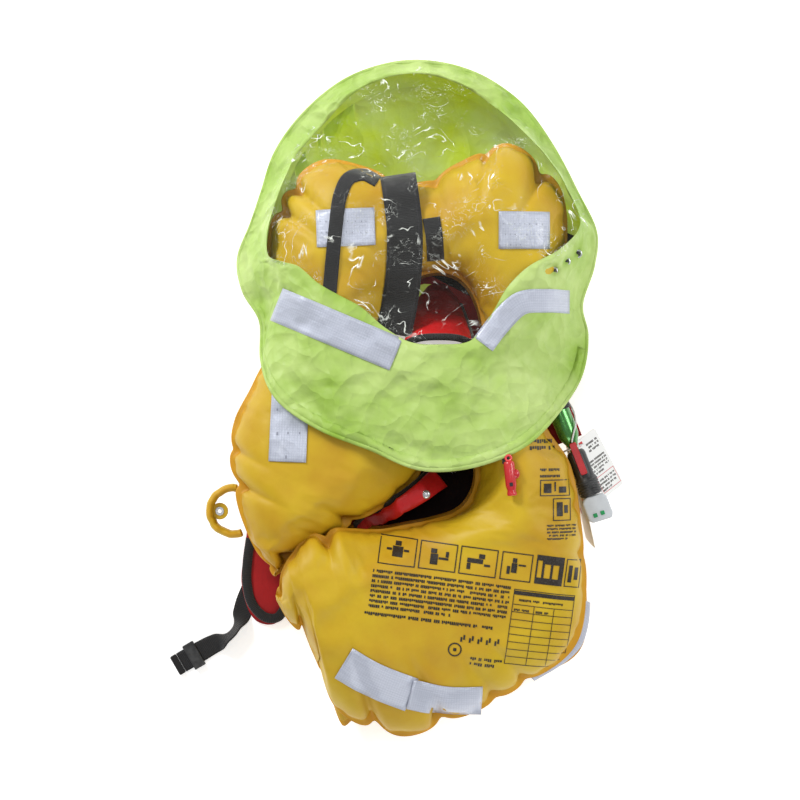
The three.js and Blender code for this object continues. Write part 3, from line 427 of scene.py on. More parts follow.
# ---------------------------------------------------------------- finishes
class Finish:
    """A material built from nodes around one shader, with patterns measured in metres."""

    def __init__(self, name, colour, roughness, metallic=0.0, **sockets):
        self.material = bpy.data.materials.new(name)
        self.material.use_nodes = True
        self.tree = self.material.node_tree
        self.shader = self.tree.nodes["Principled BSDF"]
        self.shader.inputs["Base Color"].default_value = self.full(colour)
        self.shader.inputs["Roughness"].default_value = roughness
        self.shader.inputs["Metallic"].default_value = metallic
        for socket, value in sockets.items():
            self.shader.inputs[socket.replace("_", " ")].default_value = value
        self.normal = None

    def add(self, kind, inputs, **settings):
        """A node of that kind with its settings made and its inputs linked or set."""
        node = self.tree.nodes.new(kind)
        for key, value in settings.items():
            setattr(node, key, value)
        for key, value in inputs.items():
            if isinstance(value, bpy.types.NodeSocket):
                self.tree.links.new(value, node.inputs[key])
            else:
                node.inputs[key].default_value = value
        return node

    def place(self, attribute=None, stretch=(1, 1, 1), turn=0.0):
        """Coordinates: the object's own, or the cloth attribute's, stretched and turned."""
        if attribute:
            source = self.add("ShaderNodeAttribute", {}, attribute_name=attribute).outputs["Vector"]
        else:
            source = self.add("ShaderNodeTexCoord", {}).outputs["Object"]
        return self.add("ShaderNodeMapping",
                        {"Vector": source, "Scale": stretch, "Rotation": (0, 0, turn)}).outputs[0]

    def value(self, attribute):
        """A number held by the mesh."""
        return self.add("ShaderNodeAttribute", {}, attribute_name=attribute).outputs["Fac"]

    def noise(self, size, detail=3, at=None, roughness=0.5, distortion=0.0):
        """Cloudy pattern from 0 to 1 whose spots are about size across."""
        return self.add("ShaderNodeTexNoise", {
            "Vector": at or self.place(), "Scale": 1 / size, "Detail": detail,
            "Roughness": roughness, "Distortion": distortion}).outputs["Fac"]

    def bands(self, gap, direction, at, distortion=0.0):
        """Stripes a gap apart, across X or Y."""
        return self.add("ShaderNodeTexWave", {
            "Vector": at, "Scale": math.pi / 10 / gap, "Distortion": distortion},
            bands_direction=direction).outputs["Fac"]

    def cells(self, size, feature="DISTANCE_TO_EDGE", at=None, randomness=1.0):
        """Cell pattern: distance to the nearest wall, or to the cell's middle."""
        return self.add("ShaderNodeTexVoronoi", {
            "Vector": at or self.place(), "Scale": 1 / size, "Randomness": randomness},
            feature=feature).outputs["Distance"]

    def fit(self, value, low, high, to_low=0.0, to_high=1.0):
        """value moved from one range to another, and held inside it."""
        return self.add("ShaderNodeMapRange", {
            "Value": value, "From Min": low, "From Max": high,
            "To Min": to_low, "To Max": to_high}).outputs[0]

    def maths(self, operation, a, b=0.0):
        """One sum on two numbers."""
        return self.add("ShaderNodeMath", {0: a, 1: b}, operation=operation).outputs[0]

    def mix(self, share, a, b):
        """Colour a turning into b as share goes from 0 to 1."""
        return self.add("ShaderNodeMix", {0: share, 6: self.full(a), 7: self.full(b)},
                        data_type="RGBA").outputs[2]

    @staticmethod
    def full(colour):
        """A colour with its alpha, or the socket as it is."""
        return colour if isinstance(colour, bpy.types.NodeSocket) else (*colour[:3], 1.0)

    def link(self, socket, value):
        """Feeds a socket of the shader."""
        self.tree.links.new(value, self.shader.inputs[socket])

    def crumple(self, depth, size=0.062):
        """Flat facets that meet in sharp creases: cells of two sizes, bent by cloudy noise."""
        for scale, share in ((size, 1.0), (size * 0.42, 0.4)):
            warp = self.add("ShaderNodeTexNoise", {"Vector": self.place(), "Scale": 0.7 / scale,
                                                   "Detail": 2.0}).outputs["Color"]
            shift = self.add("ShaderNodeVectorMath", {0: warp, 1: (scale, scale, scale)},
                             operation="MULTIPLY").outputs[0]
            at = self.add("ShaderNodeVectorMath", {0: self.place(), 1: shift},
                          operation="ADD").outputs[0]
            self.bump(self.cells(scale, "F1", at), depth * share, 0.9)

    def bump(self, height, depth, strength=1.0):
        """Raises the surface by depth metres where height is 1."""
        inputs = {"Height": height, "Distance": depth, "Strength": strength}
        if self.normal:
            inputs["Normal"] = self.normal
        self.normal = self.add("ShaderNodeBump", inputs).outputs[0]
        self.link("Normal", self.normal)


def darker(colour, share):
    """The colour multiplied by share."""
    return tuple(c * share for c in colour[:3])


def coated_cloth(name, colour, shade, seam, roughness, crumple, weave=0.0011, facets=0.0,
                 glow=0.0):
    """Coated woven cloth: clouds of a deeper shade, fine creases, a plain weave, and a seam tint that is
    partly painted shade.
    """
    cloth = Finish(name, colour, roughness, Specular_IOR_Level=0.35)
    clouds = cloth.noise(0.11, 4, roughness=0.55)
    tone = cloth.mix(cloth.fit(clouds, 0.38, 0.66), colour, shade)
    speck = cloth.noise(0.004, 2)
    tone = cloth.mix(cloth.fit(speck, 0.3, 0.9, 0.0, 0.16), tone, darker(colour, 0.82))
    # Seam tint: the welded flange's own deeper colour, plus painted shade that fades onto the cloth beside
    # the seam.
    if seam is not None:
        tone = cloth.mix(cloth.value("edge"), tone, seam)
    cloth.link("Base Color", tone)
    # Painted light: an emission that stands in for daylight through the thin cloth and brightens the shaded
    # back tray.
    if glow:  # daylight that comes through the thin cloth
        cloth.link("Emission Color", tone)
        cloth.link("Emission Strength", cloth.fit(clouds, 0.2, 0.8, glow * 1.1, glow * 0.9))
    cloth.link("Roughness", cloth.fit(clouds, 0.2, 0.8, roughness - 0.07, roughness + 0.09))
    cloth.bump(cloth.noise(0.028, 5, roughness=0.55, distortion=0.4), crumple, 0.55)
    if facets:
        cloth.crumple(facets)
    at = cloth.place("cloth")
    threads = cloth.maths("MULTIPLY", cloth.bands(weave, "X", at), cloth.bands(weave, "Y", at))
    cloth.bump(threads, 0.00006, 0.35)
    return cloth.material


def webbing(name, colour, stitch, rib=0.0022):
    """Woven strap: ribs across, threads along, painted shade in the weave's grooves, crowns lighter in
    cloudy patches, and two rows of stitches.
    """
    strap = Finish(name, colour, 0.62, Sheen_Weight=0.25, Sheen_Roughness=0.4)
    at = strap.place("cloth")
    ribs = strap.bands(rib, "X", at, 0.4)
    threads = strap.bands(rib * 0.62, "Y", at, 0.3)
    weave = strap.maths("MULTIPLY", ribs, threads)
    worn = strap.noise(0.02, 4, at=at)
    # Painted shade: the weave's grooves go darker than the strap's own colour; the crowns turn lighter in
    # cloudy patches.
    tone = strap.mix(strap.maths("MULTIPLY", weave, worn), darker(colour, 0.45), stitch)
    share = strap.add("ShaderNodeSeparateXYZ", {"Vector": at}).outputs
    edge = strap.maths("ABSOLUTE", share["Z"])
    row = strap.maths("COMPARE", edge, 0.8)
    row.node.inputs[2].default_value = 0.035
    dash = strap.fit(strap.bands(0.0042, "X", at), 0.45, 0.6)
    tone = strap.mix(strap.maths("MULTIPLY", row, dash), tone, stitch)
    strap.link("Base Color", tone)
    strap.link("Roughness", strap.fit(weave, 0, 1, 0.78, 0.5))
    strap.bump(weave, 0.0004, 0.8)
    strap.bump(strap.maths("MULTIPLY", row, strap.maths("SUBTRACT", 1.0, dash)), -0.0004, 0.8)
    return strap.material


def reflective(name, colour, line, mark):
    """Reflective tape: glass-bead film pressed into small cells, faintly clouded, scuffed by folds."""
    tape = Finish(name, colour, 0.34, 0.35, Coat_Weight=0.35, Coat_Roughness=0.12)
    at = tape.place("cloth")
    cell = tape.cells(0.0034, at=at, randomness=0.12)
    wall = tape.fit(cell, 0.02, 0.12, 1.0, 0.0)
    clouds = tape.noise(0.035, 4, at=at)
    tone = tape.mix(tape.fit(clouds, 0.3, 0.75), colour, darker(colour, 0.86))
    tone = tape.mix(tape.maths("MULTIPLY", wall, 0.55), tone, line)
    scratch = tape.noise(0.006, 5, at=tape.place("cloth", (1, 6, 1), 0.5), roughness=0.7)
    tone = tape.mix(tape.fit(scratch, 0.66, 0.78, 0.0, 0.5), tone, mark)
    tape.link("Base Color", tone)
    tape.link("Roughness", tape.fit(clouds, 0.2, 0.8, 0.24, 0.46))
    tape.bump(wall, -0.00015, 0.5)
    tape.bump(tape.noise(0.02, 4, at=at, distortion=0.5), 0.0012, 0.5)
    tape.crumple(0.004, 0.05)
    return tape.material


def clear_film(name, colour):
    """Thin clear film: it lets light straight through but for a faint haze, and painted highlights along
    crinkle lines, where it turns white, nearly opaque and glowing.
    """
    film = Finish(name, colour, 0.08, Alpha=0.1, Specular_IOR_Level=1.0, IOR=1.5)
    crinkle = film.noise(0.06, 3, roughness=0.45, distortion=1.2)
    ridge = film.maths("ABSOLUTE", film.maths("SUBTRACT", crinkle, 0.5))
    film.bump(film.fit(ridge, 0.0, 0.05, 1.0, 0.0), 0.003, 0.7)
    film.bump(film.noise(0.05, 2), 0.006, 0.5)
    # Painted highlights: thin lines along the crinkles, in patches, make the film white, nearly opaque and
    # glowing.
    line = film.fit(ridge, 0.0, 0.011, 1.0, 0.0)
    patch = film.fit(film.noise(0.03, 3), 0.5, 0.62)
    glint = film.maths("MULTIPLY", line, patch)
    fine = film.noise(0.02, 3, roughness=0.5, distortion=2.4)
    fine = film.fit(film.maths("ABSOLUTE", film.maths("SUBTRACT", fine, 0.5)), 0.0, 0.009, 1.0, 0.0)
    some = film.fit(film.noise(0.05, 2, at=film.place(None, (1, 1.3, 1), 0.7)), 0.52, 0.66)
    glint = film.maths("MAXIMUM", glint, film.maths("MULTIPLY", fine, some))
    film.link("Alpha", film.fit(glint, 0.0, 1.0, 0.012, 0.85))
    film.link("Roughness", film.fit(film.noise(0.02, 3), 0.2, 0.8, 0.05, 0.2))
    tone = film.mix(film.noise(0.06, 2), colour, darker(colour, 0.94))
    film.link("Base Color", tone)
    # The painted highlights glow through the emission.
    film.link("Emission Color", tone)
    film.link("Emission Strength", film.fit(glint, 0.0, 1.0, 0.0, 0.35))
    return film.material


def moulded(name, colour, roughness, coat, grain=0.0009):
    """Moulded plastic: spark grain, soft flow clouds and edges scuffed paler."""
    part = Finish(name, colour, roughness, Coat_Weight=coat, Coat_Roughness=0.1)
    clouds = part.noise(0.012, 4)
    grit = part.noise(grain, 2)
    worn = part.add("ShaderNodeNewGeometry", {}).outputs["Pointiness"]
    rubbed = part.maths("MULTIPLY", part.fit(worn, 0.52, 0.6), part.fit(clouds, 0.35, 0.6))
    pale = tuple(min(1.0, c * 1.5 + 0.05) for c in colour[:3])
    tone = part.mix(part.fit(clouds, 0.3, 0.8), colour, darker(colour, 0.8))
    part.link("Base Color", part.mix(rubbed, tone, pale))
    part.link("Roughness", part.fit(grit, 0.3, 0.7, roughness - 0.06, roughness + 0.1))
    part.bump(grit, 0.00008, 0.5)
    part.bump(clouds, 0.0002, 0.3)
    return part.material


def lacquered(name, colour, bare, scratch_size=0.004):
    """Lacquered or plated metal: brushed streaks, fine scratches, and bare metal where rubbed."""
    metal = Finish(name, colour, 0.26, 0.75, Coat_Weight=0.6, Coat_Roughness=0.08)
    streaks = metal.noise(scratch_size, 4, at=metal.place(None, (1, 1, 8)))
    clouds = metal.noise(0.02, 4)
    worn = metal.add("ShaderNodeNewGeometry", {}).outputs["Pointiness"]
    rub = metal.maths("MULTIPLY", metal.fit(worn, 0.53, 0.6), metal.fit(clouds, 0.4, 0.55))
    tone = metal.mix(metal.fit(streaks, 0.35, 0.7), colour, darker(colour, 0.8))
    metal.link("Base Color", metal.mix(rub, tone, bare))
    metal.link("Roughness", metal.fit(streaks, 0.3, 0.7, 0.18, 0.36))
    metal.bump(streaks, 0.00005, 0.4)
    return metal.material


def card_stock(name, colour):
    """Coated card: faint fibre clouds and a slight warp in its gloss."""
    card = Finish(name, colour, 0.45, Coat_Weight=0.25, Coat_Roughness=0.2)
    fibres = card.noise(0.0012, 4, at=card.place("cloth", (1, 3, 1)))
    clouds = card.noise(0.02, 3)
    tone = card.mix(card.fit(clouds, 0.35, 0.8, 0.0, 0.5), colour, darker(colour, 0.92))
    card.link("Base Color", card.mix(card.fit(fibres, 0.5, 0.8, 0, 0.3), tone, darker(colour, 0.8)))
    card.link("Roughness", card.fit(clouds, 0.3, 0.7, 0.36, 0.55))
    card.bump(clouds, 0.0006, 0.3)
    card.bump(fibres, 0.00004, 0.3)
    return card.material


def ink(name, colour):
    """Screen-printed ink: slightly broken, satin, with a fine grain from the cloth below."""
    print_ink = Finish(name, colour, 0.5)
    grain = print_ink.noise(0.0016, 3)
    lighter = tuple(min(1.0, c + 0.05) for c in colour[:3])
    print_ink.link("Base Color", print_ink.mix(print_ink.fit(grain, 0.5, 0.8), colour, lighter))
    print_ink.link("Roughness", print_ink.fit(grain, 0.3, 0.7, 0.42, 0.62))
    print_ink.bump(grain, 0.00005, 0.4)
    return print_ink.material


def braid(name, colour):
    """Braided cord: two crossing sets of strands, with painted shade between them."""
    cord = Finish(name, colour, 0.7, Sheen_Weight=0.3)
    one = cord.bands(0.0016, "X", cord.place("cloth", (1, 1, 1), 0.7))
    two = cord.bands(0.0016, "X", cord.place("cloth", (1, 1, 1), -0.7))
    strands = cord.maths("MAXIMUM", one, two)
    # Painted shade: darker where the strands sink, the low places of the same bump.
    cord.link("Base Color", cord.mix(strands, darker(colour, 0.55), colour))
    cord.link("Roughness", cord.fit(strands, 0, 1, 0.85, 0.6))
    cord.bump(strands, 0.0003, 0.7)
    return cord.material


FINISHES = {}


def finish_of(name):
    """One of the jacket's finishes, made the first time it is asked for."""
    colours = bpy.context.scene.jacket_colours
    makers = {
        "chamber": lambda: coated_cloth("Chamber cloth", colours.yellow, colours.yellow_shade,
                                        colours.seam, 0.5, 0.0016),
        "hood": lambda: coated_cloth("Hood cloth", colours.lime, colours.lime_shade,
                                     None, 0.5, 0.0034, facets=0.015),
        # The hood lining glows with painted light.
        "hood_inner": lambda: coated_cloth("Hood lining", colours.lime_inner, colours.lime,
                                           None, 0.5, 0.003, facets=0.010, glow=0.22),
        "cover": lambda: coated_cloth("Cover cloth", colours.red, colours.red_shade,
                                      None, 0.72, 0.0018, 0.0014),
        # Painted light: a brighter copy of the cover cloth for the fold and the collar, to make up for the
        # shade they lie in.
        "cover_painted_lit": lambda: coated_cloth("Cover cloth painted lit", colours.red_painted_lit, colours.red,
                                            None, 0.45, 0.003, 0.0014, facets=0.006),
        "lining": lambda: coated_cloth("Lining mesh", colours.lining, darker(colours.lining, 0.5),
                                       None, 0.8, 0.003, 0.003),
        "web": lambda: webbing("Black webbing", colours.black, colours.stitch),
        "tape": lambda: reflective("Reflective tape", colours.silver, colours.silver_line,
                                   colours.silver_mark),
        "film": lambda: clear_film("Clear film", colours.film),
        "black": lambda: moulded("Black moulding", colours.moulding, 0.42, coat=0.15),
        "red_plastic": lambda: moulded("Red moulding", colours.whistle, 0.3, coat=0.4),
        "grey": lambda: moulded("Grey moulding", colours.grey, 0.42, coat=0.1),
        "sight": lambda: moulded("Green sight", colours.sight, 0.14, coat=0.9),
        "cylinder": lambda: lacquered("Green lacquer", colours.cylinder, colours.steel),
        "steel": lambda: lacquered("Bright plating", colours.steel, darker(colours.steel, 0.6)),
        "card": lambda: card_stock("Printed card", colours.card),
        "cord": lambda: braid("White braid", colours.card),
        "ink": lambda: ink("Dark ink", colours.ink),
        "red_ink": lambda: ink("Red ink", colours.red_ink),
        "tape_ink": lambda: ink("Tape marks", colours.silver_mark),
    }
    if name not in FINISHES:
        FINISHES[name] = makers[name]()
    return FINISHES[name]


# ---------------------------------------------------------------- settings
def colour(name, description, code):
    """A colour setting whose default is a six-figure screen colour."""
    return FloatVectorProperty(name=name, description=description, default=tint(code),
                               subtype="COLOR", min=0, max=1)


def length(name, description, millimetres):
    """A length setting, given in millimetres and held in metres."""
    return FloatProperty(name=name, description=description, default=millimetres * MM,
                         subtype="DISTANCE", unit="LENGTH")


class JacketColours(bpy.types.PropertyGroup):
    """Colours of the jacket's cloths, straps and fittings."""

    yellow: colour("Chamber", "Inflated chambers", "c8a81b")
    yellow_shade: colour("Chamber shade", "Deeper clouds in the chamber cloth", "b98e16")
    # Seam colour: the flange's own deeper tone, also laid beside the seam as painted shade.
    seam: colour("Seam", "Welded edge of the chambers", "cc941c")
    lime: colour("Hood", "Spray hood cloth", "b9d17c")
    lime_shade: colour("Hood shade", "Deeper clouds in the hood cloth", "8fb43c")
    lime_inner: colour("Hood lining", "Inner side of the hood's back", "bcd424")
    film: colour("Window", "Clear window film", "f6fbf2")
    red: colour("Cover", "Red cover cloth", "a81318")
    # Painted light: a brighter red than the cover's, for the shaded fold and collar.
    red_painted_lit: colour("Cover lit", "Red of the fold and the collar", "d0151b")
    red_shade: colour("Cover shade", "Deeper clouds in the cover cloth", "6e0a0e")
    lining: colour("Lining", "Dark lining of the cover", "200a0c")
    black: colour("Webbing", "Harness webbing", "141416")
    stitch: colour("Stitching", "Thread on the webbing", "26262a")
    silver: colour("Tape", "Reflective tape", "c8cddb")
    silver_line: colour("Tape cells", "Walls between the tape's cells", "9ea6ba")
    silver_mark: colour("Tape scuffs", "Scuffs and marks on the tape", "8c90a0")
    moulding: colour("Black moulding", "Buckle, slider and inflator body", "161719")
    whistle: colour("Red moulding", "Whistle, lever and cap", "c01a22")
    grey: colour("Sensing head", "Light grey moulding", "c4c9ce")
    sight: colour("Sights", "Green status sights", "0a9450")
    cylinder: colour("Cylinder", "Lacquer of the gas cylinder", "4c8f46")
    steel: colour("Plating", "Bright plated metal", "d2d5da")
    card: colour("Card", "Cards and white cord", "f4f4f2")
    ink: colour("Ink", "Dark print", "1c1408")
    red_ink: colour("Red ink", "Red marks on the cards", "c8282c")


class JacketSizes(bpy.types.PropertyGroup):
    """Sizes that only the looks have; every other place comes from the frame."""

    flange: length("Seam flange", "Width of the welded edge outside the seam", 6.5)
    flange_thick: length("Flange thickness", "Thickness of the welded edge", 1.6)
    pucker: length("Puckers", "Depth of the puckers along a seam", 3.6)
    pucker_gap: length("Pucker spacing", "Distance between puckers along a seam", 17)
    crease: length("Creases", "Depth of the crease at a notch", 10)
    undulation: length("Undulation", "Height of broad waves in the chambers", 3.2)
    chamber_swell: length("Swelling", "Furthest that inflation moves a point", 4)
    hood_fold: length("Hood folds", "Height of the hood's folds", 15)
    film_crinkle: length("Film crinkles", "Height of the window's crinkles", 2.4)
    tape_thick: length("Tape thickness", "Thickness of reflective tape", 0.5)
    web_thick: length("Webbing thickness", "Thickness of woven strap", 1.7)
    whistle_lift: length("Whistle lift", "Gap that lets the whistle swing over the cloth", 2.5)
    lift: length("Laid lift", "Gap between a laid strip and what it lies on", 1.5)
    chamber_rows: IntProperty(name="Chamber rows", description="Sections along a chamber",
                              default=400, min=60)
    camera_height: FloatProperty(name="Camera height", description="Camera above the rim",
                                 default=3.9, subtype="DISTANCE", unit="LENGTH")
    view_width: FloatProperty(name="View width", description="Width seen at the rim's level",
                              default=1.04, subtype="DISTANCE", unit="LENGTH")


# ---------------------------------------------------------------- stage
AIM = (-14, -1)  # middle of the view, in plan millimetres
FLOOR_REACH, FLOOR_GLOW, SKY_STRENGTH = 6.0, 0.45, 0.4
LAMPS = (  # place, size, power
    ((-1.8, 2.0, 1.7), 0.9, 72), ((2.0, 0.7, 1.7), 1.0, 26), ((0.3, -2.2, 1.7), 1.2, 16),
    ((0.05, 0.25, 3.4), 0.5, 7),
)


class JACKET_OT_stage(bpy.types.Operator):
    """Adds the camera, the pale floor and soft studio light"""

    bl_idname = "jacket.stage"
    bl_label = "Stage"

    def execute(self, context):
        sizes = context.scene.jacket_sizes
        aim = plan(AIM)
        camera = bpy.data.objects.new("camera", bpy.data.cameras.new("camera"))
        camera.location = (aim[0], aim[1], RIM + sizes.camera_height)
        camera.data.lens = camera.data.sensor_width * sizes.camera_height / sizes.view_width
        camera.data.clip_end = 50
        context.scene.collection.objects.link(camera)
        context.scene.camera = camera

        floor = Finish("Pale floor", tint("fbfbfb"), 0.9)
        clouds = floor.noise(0.6, 2)
        floor.link("Base Color", floor.mix(clouds, tint("fdfdfd"), tint("f8f8f8")))
        floor.bump(floor.noise(0.02, 2), 0.0002, 0.1)
        floor.link("Emission Color", floor.mix(clouds, tint("ffffff"), tint("fcfcfc")))
        floor.shader.inputs["Emission Strength"].default_value = FLOOR_GLOW
        corners = [(x * FLOOR_REACH, y * FLOOR_REACH, 0) for x, y in ((-1, -1), (1, -1), (1, 1), (-1, 1))]
        ground = mesh_of("floor", corners, [(0, 1, 2, 3)], floor.material)

        for k, (place, size, power) in enumerate(LAMPS):
            light = bpy.data.lights.new(f"lamp_{k}", "AREA")
            light.size = size
            light.energy = power
            lamp = bpy.data.objects.new(light.name, light)
            lamp.location = place
            lamp.rotation_mode = "QUATERNION"
            lamp.rotation_quaternion = (Vector((0, 0, 0.1)) - Vector(place)).to_track_quat("-Z", "Y")
            context.scene.collection.objects.link(lamp)
        world = bpy.data.worlds.new("studio")
        world.use_nodes = True
        sky = world.node_tree.nodes["Background"].inputs
        sky["Color"].default_value = (1, 1, 1, 1)
        sky["Strength"].default_value = SKY_STRENGTH
        context.scene.world = world
        context.scene.view_settings.view_transform = "Standard"
        return {"FINISHED"}


# ---------------------------------------------------------------- inflator's axes and the pull cord
turn = joint("cylinder_turn")
INFLATOR = Place(turn["pos_m"], turn["axis"])

BODY_LENGTH = 62
HEAD_LENGTH = 34
BODY_BASE = HEAD_LENGTH + 0.4
BODY_TOP = BODY_BASE + BODY_LENGTH
RIB_START, RIB_PITCH, RIB_COUNT = BODY_BASE + 2, 3.4, 6
RIB_END = RIB_START + RIB_PITCH * RIB_COUNT
BODY_RADIUS, BARREL_RADIUS = 15, 12.5
LEVER_FOOT, LEVER_LENGTH, LEVER_FACE = RIB_END + 7, 44, 10.4
LEVER_END = LEVER_FOOT + LEVER_LENGTH
CYLINDER_BASE, CYLINDER_LENGTH, CYLINDER_RADIUS = BODY_TOP + 8, 118, 14
CYLINDER_END = CYLINDER_BASE + CYLINDER_LENGTH
NECK_RADIUS = 6
BAND_START, BAND_WIDTH, BAND_RADIUS = CYLINDER_BASE + 48, 16, 16
CORD_RADIUS = 1.1
CORD_LEVEL = -14.9
PULL_ROUTE = [
    (0, LEVER_END + 0.8, LEVER_FACE + 2), (1.2, LEVER_END + 3.2, LEVER_FACE + 2.6),
    (3.4, LEVER_END + 6.8, LEVER_FACE + 3.2), (6, LEVER_END + 10.6, LEVER_FACE + 3.6),
    (8.8, LEVER_END + 14.4, LEVER_FACE + 3.4), (11.8, LEVER_END + 18.4, LEVER_FACE + 1.8),
    (14.4, LEVER_END + 23, LEVER_FACE - 1.8), (16, LEVER_END + 28, LEVER_FACE - 6),
    (17.2, LEVER_END + 33, 0.2), (17.8, LEVER_END + 38, -4), (17.8, LEVER_END + 43, -8.4),
    (17.2, LEVER_END + 47, -12), (16.4, LEVER_END + 51.4, CORD_LEVEL),
    (15.6, LEVER_END + 56, CORD_LEVEL), (15, LEVER_END + 61, CORD_LEVEL),
]


def sweep(name, line, radius, material, sides=14, flat=1.0):
    """A round cord along a line of points.

    Each ring is the line's point plus radius times the cosine along a level side, and the sine
    along the side square to it; flat presses the second one."""
    ahead = units(np.gradient(line, axis=0))
    side = np.cross(ahead, (0, 0, 1))
    side /= np.maximum(np.linalg.norm(side, axis=1, keepdims=True), 1e-6)
    up = np.cross(side, ahead)
    angle = circle(sides)[None, :, None]
    rings = line[:, None] + radius * (np.cos(angle) * side[:, None] + flat * np.sin(angle) * up[:, None])
    run = run_of(line)[:, None] * np.ones(sides)
    cloth = np.stack([run, radius * angle[..., 0] * np.ones_like(run), 0 * run], axis=-1)
    return tube_mesh(name, rings, material, cloth, flip=True)


class JACKET_OT_pull_cord(bpy.types.Operator):
    """Makes the cord from the manual lever to the flap behind the cylinder"""

    bl_idname = "jacket.pull_cord"
    bl_label = "Pull cord"

    def execute(self, context):
        line = evenly(INFLATOR.at(PULL_ROUTE), 70)
        cord = sweep("pull_cord_braid", line, CORD_RADIUS * MM, finish_of("cord"))
        keep(cord, "jacket", "white_cord", "pull_cord")
        return {"FINISHED"}


# ---------------------------------------------------------------- air chambers
# Stations along the horseshoe from the left lobe's tip, round the neck, to the right lobe's tip:
# neck side x, y, outside x, y, share of the full depth, and how far the inner chamber's rim
# stands out past the outer one's. Plan millimetres.
STATIONS = (
    (-172, -232, -186, -226, 0.25, -4), (-150, -212, -203, -196, 0.6, 0),
    (-112, -184, -226, -138, 0.88, 2), (-66, -160, -237, -80, 1, -4),
    (-18, -128, -230, -28, 1, -6), (14, -92, -206, 20, 0.97, -6),
    (-16, -30, -186, 68, 0.95, -6), (-28, 35, -180, 125, 0.95, -6),
    (-26, 95, -188, 185, 0.97, -6), (-14, 135, -172, 262, 0.97, -6),
    (6, 156, -118, 311, 0.97, -6), (30, 164, -55, 302, 0.92, -6),
    (48, 163, 0, 283, 0.88, -6), (66, 154, 60, 308, 0.92, -6),
    (80, 136, 125, 334, 0.97, -6), (90, 108, 190, 285, 0.97, -6),
    (93, 78, 204, 215, 0.95, -6), (92, 45, 186, 130, 0.92, -6),
    (90, 8, 160, 62, 0.85, -6), (86, -35, 157, 8, 0.85, -6),
    (84, -80, 178, -38, 0.92, -4), (80, -118, 208, -85, 0.97, -2),
    (62, -143, 222, -160, 1, 0), (30, -155, 229, -240, 1, 6),
    (-5, -162, 215, -320, 1, 9), (-40, -168, 150, -372, 1, 4),
    (-78, -166, 60, -418, 0.97, -6), (-108, -163, -20, -440, 0.92, -8),
    (-136, -176, -95, -405, 0.86, 10), (-152, -196, -125, -340, 0.76, 4),
    (-166, -216, -150, -302, 0.62, -2), (-178, -240, -172, -274, 0.35, -4),
)
# Notches between the bulges of the outline: x, y, depth and width; a negative depth is a bulge.
NOTCHES = (
    (-229, -103, 13, 10), (-199, -217, 11, 8), (-165, 248, 13, 8), (-151, 278, 12, 8),
    (-31, 298, 6, 12), (31, 295, 8, 14), (103, 322, 10, 10), (173, 302, 14, 10),
    (-112, -170, 12, 9), (-146, -204, 13, 9), (-122, -312, 30, 13), (-108, -366, 15, 11),
    (-40, -420, 20, 12), (45, -424, 13, 11), (157, -372, 8, 10), (226, -200, 3, 12),
    (-236, -60, 6, 8), (-196, 60, 6, 9), (120, -398, 7, 9), (-70, -160, 9, 8),
)
INNER_BULGES = ((-97, -404, -30, 16), (205, -325, -10, 48))
LOBE_START, LOBE_FULL, LOBE_LIFT = 24.2, 26.6, 42  # where the long lobe's edge rides up on the arm
TOP_CELLS, LOW_CELLS = 34, 22
NOTCH_REACH = 34  # a notch further than this from an outline is none of its own


def notched(line, inward, notches):
    """Pulls an outline in at each notch near it, and returns the notches' places along it.

    The pull is depth times e to the minus distance over width, or a bell curve for a bulge."""
    run = run_of(line)
    places = []
    for x, y, depth, width in notches:
        far = np.linalg.norm(line - (x, y), axis=1)
        k = int(far.argmin())
        if far[k] > NOTCH_REACH:
            continue
        away = np.abs(run - run[k]) / width
        line = line + inward * (depth * np.exp(-away ** (1 if depth > 0 else 2)))[:, None]
        if depth > 0:
            places.append((run[k], depth))
    return line, run, places


